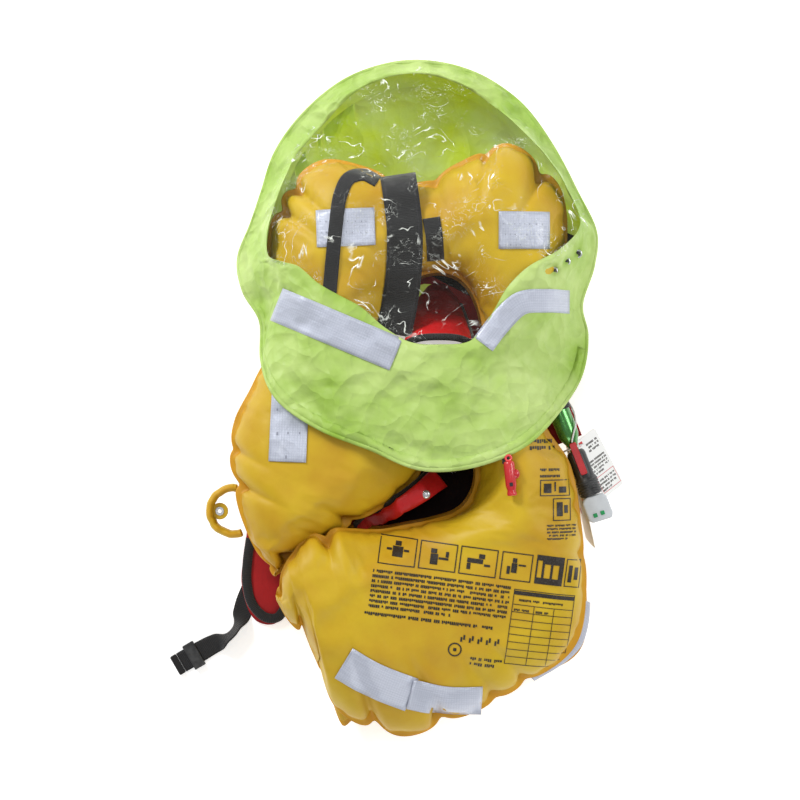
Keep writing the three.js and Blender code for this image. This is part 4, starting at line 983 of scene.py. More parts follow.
def chamber_rings(rows, level, depth, peek_share, notches, lift, sizes):
    """Rings of one chamber.

    Ring: reach times the cosine across, half the depth times the sine up, cut at the seam by a
    flat flange on each side; puckers fade with distance from the seam."""
    table = np.array(STATIONS, float)
    t = np.linspace(0, len(table) - 1, rows)
    neck, outside = spline(table[:, :2], t), spline(table[:, 2:4], t)
    share, peek = (np.interp(t, np.arange(len(table)), table[:, k]) for k in (4, 5))
    kernel = np.hanning(15) / np.hanning(15).sum()
    share, peek = (np.convolve(np.pad(v, 7, "edge"), kernel, "valid") for v in (share, peek))
    across = units(outside - neck)
    outside = outside + across * (peek * peek_share)[:, None]
    neck, neck_run, neck_places = notched(neck, across, notches)
    outside, out_run, out_places = notched(outside, -across, notches)
    middle = (neck + outside) / 2
    flange, thick = sizes.flange / MM, sizes.flange_thick / MM / 2
    reach = np.linalg.norm(outside - neck, axis=1) / 2 - flange
    run = run_of(middle)
    ends = np.clip(np.minimum(run, run[-1] - run) / 16, 0.02, 1)
    closing = np.sqrt(1 - (1 - ends) ** 2)
    reach = (reach * closing)[:, None]
    half = (depth / 2 * np.minimum(share, 1) * closing)[:, None]

    top, low = np.linspace(0, np.pi, TOP_CELLS), np.linspace(np.pi, 2 * np.pi, LOW_CELLS)
    angle = np.concatenate([top, [np.pi, np.pi], low, [0, 0]])
    on_flange = np.concatenate([0 * top, [1, 1], 0 * low, [1, 1]])
    sign = np.concatenate([top * 0 + 1, [1, -1], low * 0 - 1, [-1, 1]])
    cosine, sine = np.cos(angle)[None, :], np.sin(angle)[None, :]
    sine = np.where(on_flange > 0, 0, sine)
    to_out = cosine > 0
    offset = reach * cosine + flange * closing[:, None] * on_flange * np.sign(cosine)
    height = half * np.sign(sine) * np.abs(sine) ** 0.92 + thick * sign

    seam_run = np.where(to_out, out_run[:, None], neck_run[:, None])
    from_edge = 0.6 * reach * (1 - np.abs(cosine)) + 0.9 * half * np.abs(sine)
    gap = sizes.pucker_gap / MM
    side_seed = np.where(to_out, 11.0, 53.0) + sign[None, :] * 5
    pucker = lattice(seam_run / gap, side_seed, 3) - 0.5
    pucker += 0.5 * (lattice(seam_run / gap * 2.3, side_seed, 4) - 0.5)
    dent = sizes.pucker / MM * pucker * np.exp(-from_edge / (1.5 * gap)) * 2
    for places, mine in ((out_places, to_out), (neck_places, ~to_out)):
        for place, deep in places:
            near = np.exp(-((seam_run - place) / 8) ** 2) * np.exp(-from_edge / 34)
            dent -= sizes.crease / MM * min(deep / 9, 1.4) * near * mine
    dent *= 1 - on_flange
    normal_across, normal_up = cosine * half, sine * reach
    size = np.maximum(np.hypot(normal_across, normal_up), 1e-6)
    offset = offset + dent * normal_across / size
    height = height + dent * normal_up / size
    height += on_flange * 1.8 * (lattice(seam_run / 24, side_seed, 5) - 0.5) * 2

    plan_points = middle[:, None] + across[:, None] * offset[..., None]
    x, y = plan_points[..., 0], plan_points[..., 1]
    wave = folds(x, y, 190, 80, 0.6, 21, 2) * sizes.undulation / MM
    height += wave * (sine > 0) * np.abs(sine)
    rise = lift * np.clip((t - LOBE_START) / (LOBE_FULL - LOBE_START), 0, 1) ** 1.5
    rise *= np.clip((len(table) - 0.4 - t) / 2.2, 0.35, 1)
    share_up = np.clip((1 - offset / (reach + flange)) / 2, 0, 1)
    height += rise[:, None] * share_up ** 1.3
    rings = plan(raised(plan_points, level + depth / 2 + height))
    # Seam mask: the flange itself, and a band of painted shade that fades over a few millimetres onto the
    # chamber beside it.
    edge = np.maximum(on_flange * 0.95, np.exp(-from_edge / 4.0) * 0.7)
    arc = reach * angle[None, :]
    cloth = np.stack(np.broadcast_arrays(run[:, None] * MM, arc * MM, cosine), axis=-1)
    held = np.broadcast_to((on_flange > 0) | (np.abs(sine) < 1e-6), edge.shape)
    return rings, cloth, edge, held


def bladder(context, name, node, rows, peek_share, notches, lift, frames):
    """One air chamber: its rings, closed, then inflated by a short cloth simulation."""
    sizes = context.scene.jacket_sizes
    low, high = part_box(node)
    level, depth = low.z / MM, (high.z - low.z) / MM
    rings, cloth, edge, held = chamber_rings(rows, level, depth, peek_share, notches, lift, sizes)
    piece = tube_mesh(name, rings, finish_of("chamber"), cloth, edge[..., None])
    pinned = np.concatenate([held.ravel(), [True, True]])
    inflate(piece, pinned, frames, 2.2, 0.012, sizes.chamber_swell)
    subdivided(piece, 1)
    keep(piece, "jacket", "chamber_fabric", node)
    return piece


class JACKET_OT_chambers(bpy.types.Operator):
    """Makes the outer and the inner air chamber with their welded seams"""

    bl_idname = "jacket.chambers"
    bl_label = "Air chambers"

    def execute(self, context):
        rows = context.scene.jacket_sizes.chamber_rows
        bladder(context, "outer_bladder", "outer_chamber", rows, 0, NOTCHES, LOBE_LIFT, 14)
        bladder(context, "inner_bladder", "inner_chamber", rows // 2, 1,
                NOTCHES + INNER_BULGES, 0, 8)
        return {"FINISHED"}


# ---------------------------------------------------------------- straps and tapes
def strip_grid(route, width, cell=4.0, cells=8):
    """A flat strip in plan: points of an evenly spaced line, moved sideways across the width."""
    line = evenly(np.array(route, float), max(4, int(run_of(spline(
        route, np.linspace(0, len(route) - 1, 200)))[-1] / cell)))
    share = np.linspace(-0.5, 0.5, cells + 1)
    return line[:, None] + sides_of(line)[:, None] * (share * width)[None, :, None]


def laid(name, route, width, targets, finish, thickness, lift, bridge=False, passes=3, wave=0.0):
    """A strip dropped on what lies under it, smoothed, and given its thickness.

    Height: the highest target below, plus the lift, plus a small wave of the cloth."""
    grid = plan(strip_grid(route, width))
    heights = drop(grid, targets, RIM)
    heights = np.maximum(heights, RIM)
    if bridge:
        heights = np.broadcast_to(heights.max(axis=1, keepdims=True), heights.shape).copy()
    heights = np.maximum(smoothed(heights, passes, False), heights)
    heights = np.maximum(smoothed(heights, 1, False), heights - 0.4 * lift)
    x, y = grid[..., 0] / MM, grid[..., 1] / MM
    heights = heights + lift + wave * (1 + folds(x, y, 60, 26, 0.9, 31, 2))
    piece = sheet_mesh(name, raised(grid, heights), finish_of(finish), flip=True)
    return thicken(piece, thickness, 1.0)


BACK_STRAP = [(-17, 290), (-12, 255), (-8, 215), (-9, 165), (-14, 125), (-22, 84)]
NECK_PAD = [(26, 232), (30, 205), (32, 178)]
LIFTING_LOOP = [(-42, 281), (-60, 290), (-79, 284), (-90, 262), (-96, 220), (-101, 168), (-105, 126)]
TAPES = (  # name, route, width, CAD node
    ("tape_neck_left", [(-121, 218), (-84, 219.5), (-46, 221)], 48, "neck_tape_left"),
    ("tape_neck_right", [(112, 216), (145, 216), (178, 216)], 48, "neck_tape_right"),
    ("tape_lobe_left", [(-154, 20), (-156, -30), (-158, -80)], 48, "lobe_tape_left"),
    ("tape_low_left", [(-86, -337), (-50, -358), (1, -379)], 46, "lobe_tape_low_left"),
    ("tape_low_right", [(-1, -378), (42, -388), (92, -390)], 40, "lobe_tape_low_right"),
)


class JACKET_OT_harness(bpy.types.Operator):
    """Lays the back strap, neck pad, lifting loop, belts and crotch strap"""

    bl_idname = "jacket.harness"
    bl_label = "Harness"

    def execute(self, context):
        sizes = context.scene.jacket_sizes
        chamber = bpy.data.objects["outer_bladder"]
        strap = laid("strap_back", BACK_STRAP, 46, [chamber], "web", sizes.web_thick, sizes.lift,
                     bridge=True, wave=0.0004)
        keep(strap, "jacket", "webbing", "back_strap")
        pad = laid("strap_pad", NECK_PAD, 22, [chamber, strap], "web", 0.0028, sizes.lift, wave=0.0005)
        keep(pad, "jacket", "webbing", "neck_pad")
        tape = bpy.data.objects["tape_neck_left"]
        loop = laid("strap_loop", LIFTING_LOOP, 18, [chamber, strap, tape], "web",
                    sizes.web_thick, sizes.lift, wave=0.0006)
        keep(loop, "jacket", "webbing", "lifting_loop")
        for side, body in (("left", "jacket"), ("right", "buckle_right")):
            node = f"waist_belt_{side}"
            low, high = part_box(node)
            along, across = np.linspace(low.x, high.x, 60), np.linspace(low.y, high.y, 9)
            x, y = np.meshgrid(along, across, indexing="ij")
            sag = low.z + 0.0001 + 0.00005 * (1 + folds(x / MM, y / MM, 40, 20, 1.2, 8, 2))
            belt = sheet_mesh(f"belt_{side}", np.stack([x, y, sag], axis=-1), finish_of("web"), flip=True)
            thicken(belt, sizes.web_thick - 0.0002, 1.0)
            keep(belt, body, "webbing", node)
        self.crotch_strap(sizes)
        return {"FINISHED"}

    def crotch_strap(self, sizes):
        """The tail strap: flat at both ends and turned up on its edge between them.

        A point across the strap is the line's point plus its share of the width, times the
        cosine of the turn sideways and the sine upwards."""
        start, bend = np.array((-205, -238)), np.array((-240, -314))
        end = bend + np.array((-62, -36)) / math.hypot(62, 36) * 78
        route = [start, (-220, -270), (-230, -298), bend, (bend + end) / 2, end]
        line = evenly(route, 90)
        run = np.linspace(0, 1, len(line))
        turned = math.radians(66) * np.exp(-((run - 0.5) / 0.13) ** 4)
        width = 28 - 6 * np.exp(-((run - 0.5) / 0.2) ** 2)
        share = np.linspace(-0.5, 0.5, 9)
        sideways = (width * np.cos(turned))[:, None] * share
        up = (width * np.sin(turned))[:, None] * (share + 0.5)
        rise = 2.6 * np.clip((run - 0.52) / 0.1, 0, 1)
        flat = line[:, None] + sides_of(line)[:, None] * sideways[..., None]
        points = plan(raised(flat, up + rise[:, None] + 0.2))
        strap = sheet_mesh("strap_tail_web", points, finish_of("web"), flip=True)
        thicken(strap, sizes.web_thick, 1.0)
        keep(strap, "strap_tail", "webbing", "crotch_strap")


class JACKET_OT_tapes(bpy.types.Operator):
    """Lays the reflective tapes on the chambers"""

    bl_idname = "jacket.tapes"
    bl_label = "Reflective tapes"

    def execute(self, context):
        sizes = context.scene.jacket_sizes
        under = [bpy.data.objects["outer_bladder"]]
        for name, route, width, node in TAPES:
            tape = laid(name, route, width, under, "tape", sizes.tape_thick, sizes.lift, wave=0.0003)
            keep(tape, "jacket", "reflective_tape", node)
            if name == "tape_low_left":
                under.append(tape)
        self.side_tape(sizes)
        return {"FINISHED"}

    def side_tape(self, sizes):
        """The tape round the inner chamber's rim: its ring section, grown to stand clear."""
        low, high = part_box("inner_chamber")
        table = np.array(STATIONS, float)
        t = np.linspace(23.3, 24.9, 40)
        neck, outside = spline(table[:, :2], t), spline(table[:, 2:4], t)
        across = units(outside - neck)
        reach = np.linalg.norm(outside - neck, axis=1, keepdims=True) / 2
        peek = np.interp(t, np.arange(len(table)), table[:, 5])[:, None]
        middle = (neck + outside) / 2
        angle = np.linspace(-0.25, 0.85, 16)[None, :]
        half = (high.z - low.z) / MM / 2
        offset = (reach + peek + 5.4) * np.cos(angle) + 1.0
        height = (low.z + high.z) / MM / 2 + (half + 3.4) * np.sin(angle) + 0 * peek
        flat = middle[:, None] + across[:, None] * offset[..., None]
        tape = sheet_mesh("tape_side", plan(raised(flat, height)), finish_of("tape"))
        thicken(tape, sizes.tape_thick, 1.0)
        keep(tape, "jacket", "reflective_tape", "side_tape")


# ---------------------------------------------------------------- cover
def padded_panel(name, outline, level, thickness, finish, quilt, count=120, rings=14):
    """A padded panel with a rounded edge and quilting.

    Rings shrink from the outline to its middle; the height is the thickness times a root of the
    share inwards, less the quilting."""
    rim = ring(outline, count)
    middle = rim.mean(axis=0)
    share = 1 - np.linspace(0, 1, rings, endpoint=False)[:, None, None] ** 1.4
    flat = middle + (rim - middle)[None] * share
    inward = 1 - share[..., 0]
    x, y = flat[..., 0], flat[..., 1]
    crown = np.minimum(1, np.sqrt(inward / 0.06 + 0.02))
    tops = thickness * (0.35 + 0.65 * crown) + quilt * folds(x, y, 90, 34, 0.8, 17, 3) * crown
    grid = np.swapaxes(raised(flat, level + tops), 0, 1)
    piece = sheet_mesh(name, plan(grid), finish_of(finish), closed=True)
    return thicken(piece, thickness * MM * 0.3, -1.0)


COVER_LEFT = [
    (-214, -150), (-222, -200), (-226, -250), (-208, -296), (-182, -301), (-163, -276), (-120, -222),
    (-70, -190), (0, -132), (-6, -60), (-30, 20), (-50, 56), (-140, 58), (-160, 0), (-190, -80),
]
COVER_RIGHT = [
    (60, 54), (60, -20), (58, -70), (24, -110), (-10, -150), (10, -196), (90, -212), (120, -262),
    (180, -268), (200, -200), (190, -120), (160, -40), (140, 40), (120, 56),
]
LINING_RIGHT = [
    (66, 50), (6, 20), (-14, -30), (-18, -84), (-26, -118), (-52, -148), (-40, -176), (0, -190),
    (90, -200), (150, -180), (150, -80), (120, 0), (100, 50),
]
LINING_LEFT = [
    (-60, 40), (-30, -20), (-20, -84), (-30, -118), (-90, -156), (-150, -180), (-140, -80), (-110, 20),
]
LINING_YOKE = [
    (-110, 112), (-46, 130), (0, 172), (50, 172), (100, 130), (120, 200), (40, 236), (-60, 236),
]
BINDING = [(-214, -186), (-218, -215), (-219, -245), (-212, -274), (-194, -292), (-178, -292), (-166, -276)]
FOLD_RISE = 2.2  # the fold's height over that of its box in the frame
# The fold between the lobes: x, y, share of its height.
FOLD = [(-70, -171, 0.25), (-44, -157, 0.7), (-14, -143, 1), (16, -124, 1), (40, -104, 0.8)]
# The collar: y, level and half width of each row, about x 36.
COLLAR = [(153, 16, 17), (140, 42, 27), (114, 104, 36), (90, 160, 42), (80, 178, 44)]


class JACKET_OT_cover(bpy.types.Operator):
    """Makes the red cover with its dark lining, standing fold, collar and black bindings"""

    bl_idname = "jacket.cover"
    bl_label = "Cover"

    def execute(self, context):
        for name, outline in (("left", COVER_LEFT), ("right", COVER_RIGHT)):
            low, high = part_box(f"cover_{name}")
            panel = padded_panel(f"red_{name}", outline, low.z / MM + 0.2, (high.z - low.z) / MM - 0.9,
                                 "cover", 0.7)
            keep(panel, "jacket", "cover_fabric", f"cover_{name}")
        for name, outline in (("right", LINING_RIGHT), ("left", LINING_LEFT), ("yoke", LINING_YOKE)):
            low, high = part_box(f"cover_lining_{name}")
            panel = padded_panel(f"lining_{name}_cloth", outline, low.z / MM, (high.z - low.z) / MM - 0.8,
                                 "lining", 0.5)
            keep(panel, "jacket", "lining_fabric", f"cover_lining_{name}")
        dress("cover_yoke", "cover", "cover_fabric", 0.0008)
        self.fold()
        self.collar()
        low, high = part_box("cover_binding")
        grid = plan(strip_grid(BINDING, 12, 3.0, 6))
        swell = np.cos(np.linspace(-1, 1, grid.shape[1]) * math.pi / 2)[None, :]
        z = low.z + 0.0006 + 0.0016 * swell * np.ones(grid.shape[:2])
        binding = sheet_mesh("binding_low", raised(grid, z), finish_of("web"), flip=True)
        keep(thicken(binding, 0.0012, -1.0), "jacket", "webbing", "cover_binding")
        return {"FINISHED"}

    def fold(self):
        """The standing fold: a leaf of padded cloth with a rounded top, wavy along its length.

        Its section goes up one side, over the top and down the other."""
        low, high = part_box("cover_fold")
        table = evenly(FOLD, 80)
        base, share = table[:, :2], np.clip(table[:, 2], 0, 1)
        turn_at = np.linspace(0, np.pi, 12)
        up = np.concatenate([np.linspace(0, 1, 16, endpoint=False), 1 + 0.06 * np.sin(turn_at),
                             np.linspace(1, 0, 16, endpoint=False)[1:]])
        out = np.concatenate([np.full(16, -1.0), -np.cos(turn_at), np.full(15, 1.0)])
        height = (high.z - low.z) / MM * FOLD_RISE * share[:, None] * up
        run = run_of(base)[:, None]
        wave = 3.2 * folds(run * np.ones_like(up), 60 * up * np.ones_like(run), 40, 24, 1.2, 5, 2)
        lean = 5 * up ** 2 * share[:, None] + wave * up
        sideways = lean - 3 * up + out * (3.0 + (3 + 9 * run / run[-1]) * up ** 3)
        flat = base[:, None] + sides_of(base)[:, None] * sideways[..., None]
        rings = plan(raised(flat, low.z / MM + height))
        # The fold wears the painted-lit copy of the cover cloth.
        leaf = tube_mesh("red_fold", rings, finish_of("cover_painted_lit"), cloth_of(rings))
        keep(leaf, "jacket", "cover_fabric", "cover_fold")
        top = rings[:, 28] + (-0.0015, 0.0020, -0.0010)
        edge = sweep("fold_binding", evenly(top, 80), 0.0046, finish_of("web"), 12, 0.8)
        keep(edge, "jacket", "webbing")
        at = rings[62, 20] + (0, 0, 0.0002)
        stud = washer("fold_stud", at, [(0.1, -1), (5.8, -1), (5.6, 0.6), (4.4, 1.8), (2.6, 2.6),
                                        (0.1, 2.6)], finish_of("steel"))
        keep(stud, "jacket", "bright_steel")

    def collar(self):
        """The collar: rows from its foot to its edge, bent back at the ends, with folds.

        Across each row the point is the middle plus the share times the half width."""
        rows = evenly([(y, z, half) for y, z, half in COLLAR], 50)
        share = np.linspace(-1, 1, 40)
        x = 36 + rows[:, 2:3] * share
        y = rows[:, 0:1] - np.abs(share) ** 3 * 10
        z = rows[:, 1:2] - np.abs(share) * 4
        run = run_of(rows[:, :2])[:, None] * np.ones_like(share)
        z = z + 3.0 * folds(x, run, 80, 26, 1.35, 13, 3) * np.clip(run / 30, 0, 1)
        grid = plan(np.stack([x, y, z], axis=-1))
        # The collar wears the painted-lit copy of the cover cloth.
        flap = sheet_mesh("red_collar", grid, finish_of("cover_painted_lit"))
        keep(thicken(flap, 0.0034, 0.0), "jacket", "cover_fabric", "collar_flap")
        front = sweep("collar_edge", evenly(grid[-1], 60), 0.0046, finish_of("web"), 12, 0.7)
        keep(front, "jacket", "webbing", "collar_binding")
        side = sweep("collar_side", evenly(grid[12:, -1], 60), 0.0038, finish_of("web"), 12, 0.8)
        keep(side, "jacket", "webbing")


# ---------------------------------------------------------------- spray hood
# Rim of the hood and edge of its window, matched point by point: rim x, y, level, window x, y.
HOOD = [
    (-194, 272, 84, -165, 278), (-177, 324, 78, -150, 317), (-138, 378, 72, -112, 363),
    (-79, 424, 68, -66, 408), (-1, 445, 66, -1, 428), (77, 432, 68, 57, 417),
    (142, 391, 72, 116, 378), (183, 337, 78, 165, 324), (217, 272, 84, 200, 272),
    (242, 217, 88, 218, 226), (238, 174, 92, 192, 194), (222, 122, 98, 148, 168),
    (229, 84, 104, 122, 142), (222, 35, 112, 105, 113), (191, -14, 150, 90, 90),
    (142, -60, 196, 74, 74), (77, -85, 200, 38, 70), (12, -88, 202, -1, 73),
    (-53, -62, 202, -34, 92), (-118, -36, 200, -64, 118), (-170, 1, 180, -92, 133),
    (-192, 51, 130, -118, 148), (-195, 103, 110, -144, 170), (-218, 142, 94, -166, 177),
    (-225, 183, 90, -182, 184), (-208, 230, 86, -182, 226),
]
HOOD_TURNS = 264
HOOD_MIDDLE = (10, 240)
VENTS = [(184, 165), (201, 178), (217, 189)]
VENT_RIM = [(3.0, -1.2), (5.2, -0.6), (5.6, 0.2), (5.0, 1.1), (4.0, 1.3), (3.2, 0.6), (3.0, -1.2)]
# A black disc of painted shade fills each eyelet, where the hole looks dark.
VENT_SHADE_DISC = [(0.05, 0), (3.1, 0), (3.1, 0.3), (0.05, 0.3)]
# Stretches of the rim, counted in its points.
BACK_SPAN = (-2.6, 10.4)
HEM_SPAN = (12.5, 22.5)
TRAY_LEVEL, TRAY_MIDDLE, TRAY_FOOT = 1.3, (10, 200), 92
HOOD_TAPES = (  # side, route, width
    ("left", [(-173, 122), (-100, 91), (-19, 57)], 44),
    ("right", [(92, 70), (112, 96), (140, 122), (172, 126), (206, 126)], 30),
)


class JACKET_OT_hood(bpy.types.Operator):
    """Makes the spray hood: its cloth, clear window, back tray, hem, tapes and eyelets"""

    bl_idname = "jacket.hood"
    bl_label = "Spray hood"

    def execute(self, context):
        sizes = context.scene.jacket_sizes
        table = np.array(HOOD, float)
        rim, edge = ring(table[:, :3], HOOD_TURNS), ring(table[:, 3:], HOOD_TURNS)
        share = np.linspace(0, 1, 26)[None, :, None]
        flat = rim[:, None, :2] * (1 - share) + edge[:, None] * share
        inside = 0.04 + 0.93 * share  # kept off both seams
        probe = plan(rim[:, None, :2] * (1 - inside) + edge[:, None] * inside)
        heights = drop(probe, [frame["nodes"]["hood_front"]])
        guess = rim[:, 2:3] * MM * np.ones(heights.shape[1])
        heights = smoothed(np.where(heights > MISSED, heights, guess), 6, True)
        self.cloth(sizes, flat, heights, share[0, :, 0], rim)
        self.window(sizes, edge)
        self.tray(rim)
        self.trims(sizes)
        return {"FINISHED"}

    def cloth(self, sizes, flat, heights, share, rim):
        """Rings from the rim to the window, lifted by folds that fade at both seams."""
        x, y = flat[..., 0], flat[..., 1]
        away = np.clip(share / 0.18, 0, 1) * np.clip((1 - share) / 0.12, 0, 1)
        creases = folds(x, y, 150, 46, 0.5, 71, 4) * 0.6 + folds(x, y, 110, 38, 2.3, 83, 4) * 0.5
        lifted = heights + sizes.hood_fold * creases * away[None, :] * 0.62
        puckers = lattice(run_of(rim)[:, None] / 22 * np.ones_like(share), 0 * x + 3.5, 6) - 0.5
        lifted += 0.0022 * puckers * np.exp(-share / 0.10)[None, :]
        grid = raised(plan(flat), lifted)
        cloth = sheet_mesh("hood_cloth", grid, finish_of("hood"), closed=True)
        held = np.zeros(grid.shape[:2], bool)
        held[:, :2] = held[:, -3:] = True
        inflate(cloth, held.ravel(), 10, 0.25, 0.02, 0.004, gravity=0.2)
        self.grid = points_of(cloth).reshape(grid.shape)
        thicken(cloth, 0.0011, -1.0)
        subdivided(cloth, 1)
        keep(cloth, "hood", "hood_fabric", "hood_front")
        hem = sweep("hood_roll", np.vstack([self.grid[:, 0], self.grid[:1, 0]]), 0.0032,
                    finish_of("hood"), 12)
        keep(hem, "hood", "hood_fabric")

    def window(self, sizes, edge):
        """Rings from under the cloth's edge to the middle, crinkled more away from the seam."""
        share = np.concatenate([[-0.05], np.linspace(0, 0.995, 30)])[None, :, None]
        middle = np.array(HOOD_MIDDLE, float)
        points = edge[:, None] * (1 - share) + middle * share
        z = drop(plan(points), [frame["nodes"]["hood_window"]])
        seam = self.grid[:, -1, 2][:, None] - 0.0016
        z = np.where(z > MISSED, z, seam)
        z[:, 0] = seam[:, 0] - 0.0004
        z[:, 1] = seam[:, 0]
        z[:, -3:] = z[:, -4:-3].mean()
        z = smoothed(z, 5, True)
        x, y = points[..., 0], points[..., 1]
        away = np.clip(share[0, :, 0] / 0.1, 0, 1) * np.clip((1 - share[0, :, 0]) / 0.06, 0, 1)
        crinkle = folds(x, y, 90, 30, 0.4, 41, 3) * 0.6 + folds(x, y, 60, 24, 1.9, 47, 3) * 0.4
        z = z + sizes.film_crinkle * crinkle * away
        film = sheet_mesh("hood_film", raised(plan(points), z), finish_of("film"), closed=True)
        keep(film, "hood", "clear_film", "hood_window")

    def tray(self, rim):
        """The back of the hood: from under the rim down to the floor and flat under the cushion.

        Each column falls along a curve whose inset grows as the height shrinks."""
        at = (np.linspace(*BACK_SPAN, 130) / len(HOOD) * HOOD_TURNS) % HOOD_TURNS
        k = at.astype(int)
        low, high = rim[k], rim[(k + 1) % HOOD_TURNS]
        line = low + (high - low) * (at - k)[:, None]
        way = units(np.array(TRAY_MIDDLE, float) - line[:, :2])
        down = np.linspace(0, 1, 20)
        inset = 26 * np.sin(down * math.pi / 2) ** 1.6
        wall = line[:, None, :2] + way[:, None] * inset[None, :, None]
        z = (line[:, 2:3] - 1.5) * (1 - np.sin(down * math.pi / 2) ** 1.1)[None, :] + TRAY_LEVEL
        x, y = wall[..., 0], wall[..., 1]
        z = z + 2.2 * folds(x, y + z, 90, 40, 0.7, 61, 3) * np.sin(down * math.pi)[None, :]
        z = np.maximum(z, TRAY_LEVEL)
        chord = np.linspace(wall[0, -1, 0] * 0.9, wall[-1, -1, 0] * 0.9, len(line))
        foot = np.stack([chord, np.full(len(line), float(TRAY_FOOT))], axis=-1)
        share = np.linspace(0, 1, 12)[1:, None]
        floor = wall[:, -1][:, None] * (1 - share) + foot[:, None] * share
        points = np.concatenate([wall, floor], axis=1)
        levels = np.concatenate([z, np.full(floor.shape[:2], TRAY_LEVEL)], axis=1)
        grid = plan(raised(points, levels))
        back = sheet_mesh("hood_tray", grid, finish_of("hood_inner"), flip=True)
        thicken(back, 0.0010, 0.0)
        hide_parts("hood_back")
        middle = plan(np.array(HOOD_MIDDLE))
        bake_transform(back)

    def trims(self, sizes):
        """Hem, reflective tapes, stays and eyelets of the hood, each eyelet with a black disc of painted
        shade.
        """
        cloth = bpy.data.objects["hood_cloth"]
        start, stop = (int(k / len(HOOD) * HOOD_TURNS) for k in HEM_SPAN)
        band = self.grid[start:stop, 0:3] + (0, 0, 0.0016)
        hem = sheet_mesh("hem_band", band, finish_of("hood"))
        keep(thicken(hem, 0.0014, 0.0), "hood", "hood_fabric", "hood_hem")
        film = bpy.data.objects["hood_film"]
        for name, route, width in HOOD_TAPES:
            tape = laid(f"tape_hood_{name}", route, width, [cloth, film], "tape", sizes.tape_thick,
                        0.0012, passes=2)
            keep(tape, "hood", "reflective_tape", f"hood_tape_{name}")
        for k, (x, y) in enumerate(VENTS):
            at = plan(np.array([[x, y]], float))
            z = float(drop(at, [cloth])[0])
            eyelet = washer(f"vent_{k}", (at[0, 0], at[0, 1], z + 0.0006), VENT_RIM, finish_of("steel"))
            keep(eyelet, "hood", "bright_steel")
            # Painted shade: a black disc stands for the dark hole inside the eyelet.
            dark = washer(f"vent_shade_disc_{k}", (at[0, 0], at[0, 1], z + 0.0004), VENT_SHADE_DISC,
                          finish_of("black"))
            keep(dark, "hood", "black_plastic")
        for side in ("left", "right"):
            dress(f"hood_stay_{side}", "web", "webbing")


def washer(name, centre, profile, material, sides=40):
    """A profile of [radius, height] millimetres turned about an upright axis through centre."""
    profile = np.array(profile, float) * MM
    angle = circle(sides)
    rings = np.stack([profile[:, 0:1] * np.cos(angle) + centre[0],
                      profile[:, 0:1] * np.sin(angle) + centre[1],
                      profile[:, 1:2] + centre[2] + 0 * angle], axis=-1)
    return mesh_of(name, rings, quads(len(profile), sides, closed_cols=True, flip=True), material)


# ---------------------------------------------------------------- printing
def blocks(lines, x0, y0, x1, y1, seed, fill=0.9, gap=0.42):
    """Small print as rows of short bars, each bar a generic word without letters.

    Rows are even between the top and the foot; bar lengths and gaps are seeded random numbers."""
    chance = np.random.default_rng(seed)
    pitch = (y1 - y0) / lines
    tall = pitch * (1 - gap)
    bars = []
    for k in range(lines):
        x = x0
        stop = x0 + (x1 - x0) * (fill if k == lines - 1 else 1.0)
        while x < stop - tall * 0.6:
            step = min(tall * chance.uniform(0.35, 0.62), stop - x)
            if chance.random() > 0.16:
                low = chance.choice([0.0, 0.0, 0.3])
                bars.append((x, y1 - (k + 1) * pitch + tall * low, x + step, y1 - k * pitch - pitch * gap))
            x += step + tall * 0.16
    return bars


def frame_bars(x0, y0, x1, y1, wide):
    """The four sides of a box."""
    return [(x0, y0, x1, y0 + wide), (x0, y1 - wide, x1, y1), (x0, y0, x0 + wide, y1),
            (x1 - wide, y0, x1, y1)]


def cut_up(bar, longest=7.0):
    """A bar as a row of bars, none longer or taller than longest."""
    x0, y0, x1, y1 = bar
    across = np.linspace(x0, x1, math.ceil((x1 - x0) / longest - 1e-6) + 1)
    along = np.linspace(y0, y1, math.ceil((y1 - y0) / longest - 1e-6) + 1)
    return [(a, c, b, d) for a, b in zip(across, across[1:]) for c, d in zip(along, along[1:])]


def bar_grids(bars, detail):
    """The x and the y of a small grid over each bar, with detail points each way."""
    bars = np.array(bars, float)
    share = np.linspace(0, 1, detail)
    x = bars[:, 0:1] * (1 - share) + bars[:, 2:3] * share
    y = bars[:, 1:2] * (1 - share) + bars[:, 3:4] * share
    return np.broadcast_arrays(x[:, :, None], y[:, None, :])


def bar_faces(count, detail):
    """Faces of count such grids."""
    starts = np.arange(count) * detail * detail
    return (quads(detail, detail)[None] + starts[:, None, None]).reshape(-1, 4)


PRINT_DETAIL = 3


def printed(name, bars, origin, angle, target, finish, lift, slot):
    """Bars laid on a piece: each is a small grid turned about the origin, dropped and lifted.

    A bar that misses the piece is left out."""
    x, y = bar_grids([piece for bar in bars for piece in cut_up(bar)], PRINT_DETAIL)
    turn_by = math.radians(angle)
    grid = plan(np.stack([origin[0] + x * math.cos(turn_by) - y * math.sin(turn_by),
                          origin[1] + x * math.sin(turn_by) + y * math.cos(turn_by)], axis=-1))
    z = drop(grid, [bpy.data.objects[target]]) + lift
    landed = z.min(axis=(1, 2)) > RIM
    piece = mesh_of(name, raised(grid[landed], z[landed]), bar_faces(landed.sum(), PRINT_DETAIL),
                    finish_of(finish))
    return keep(piece, "jacket", slot)


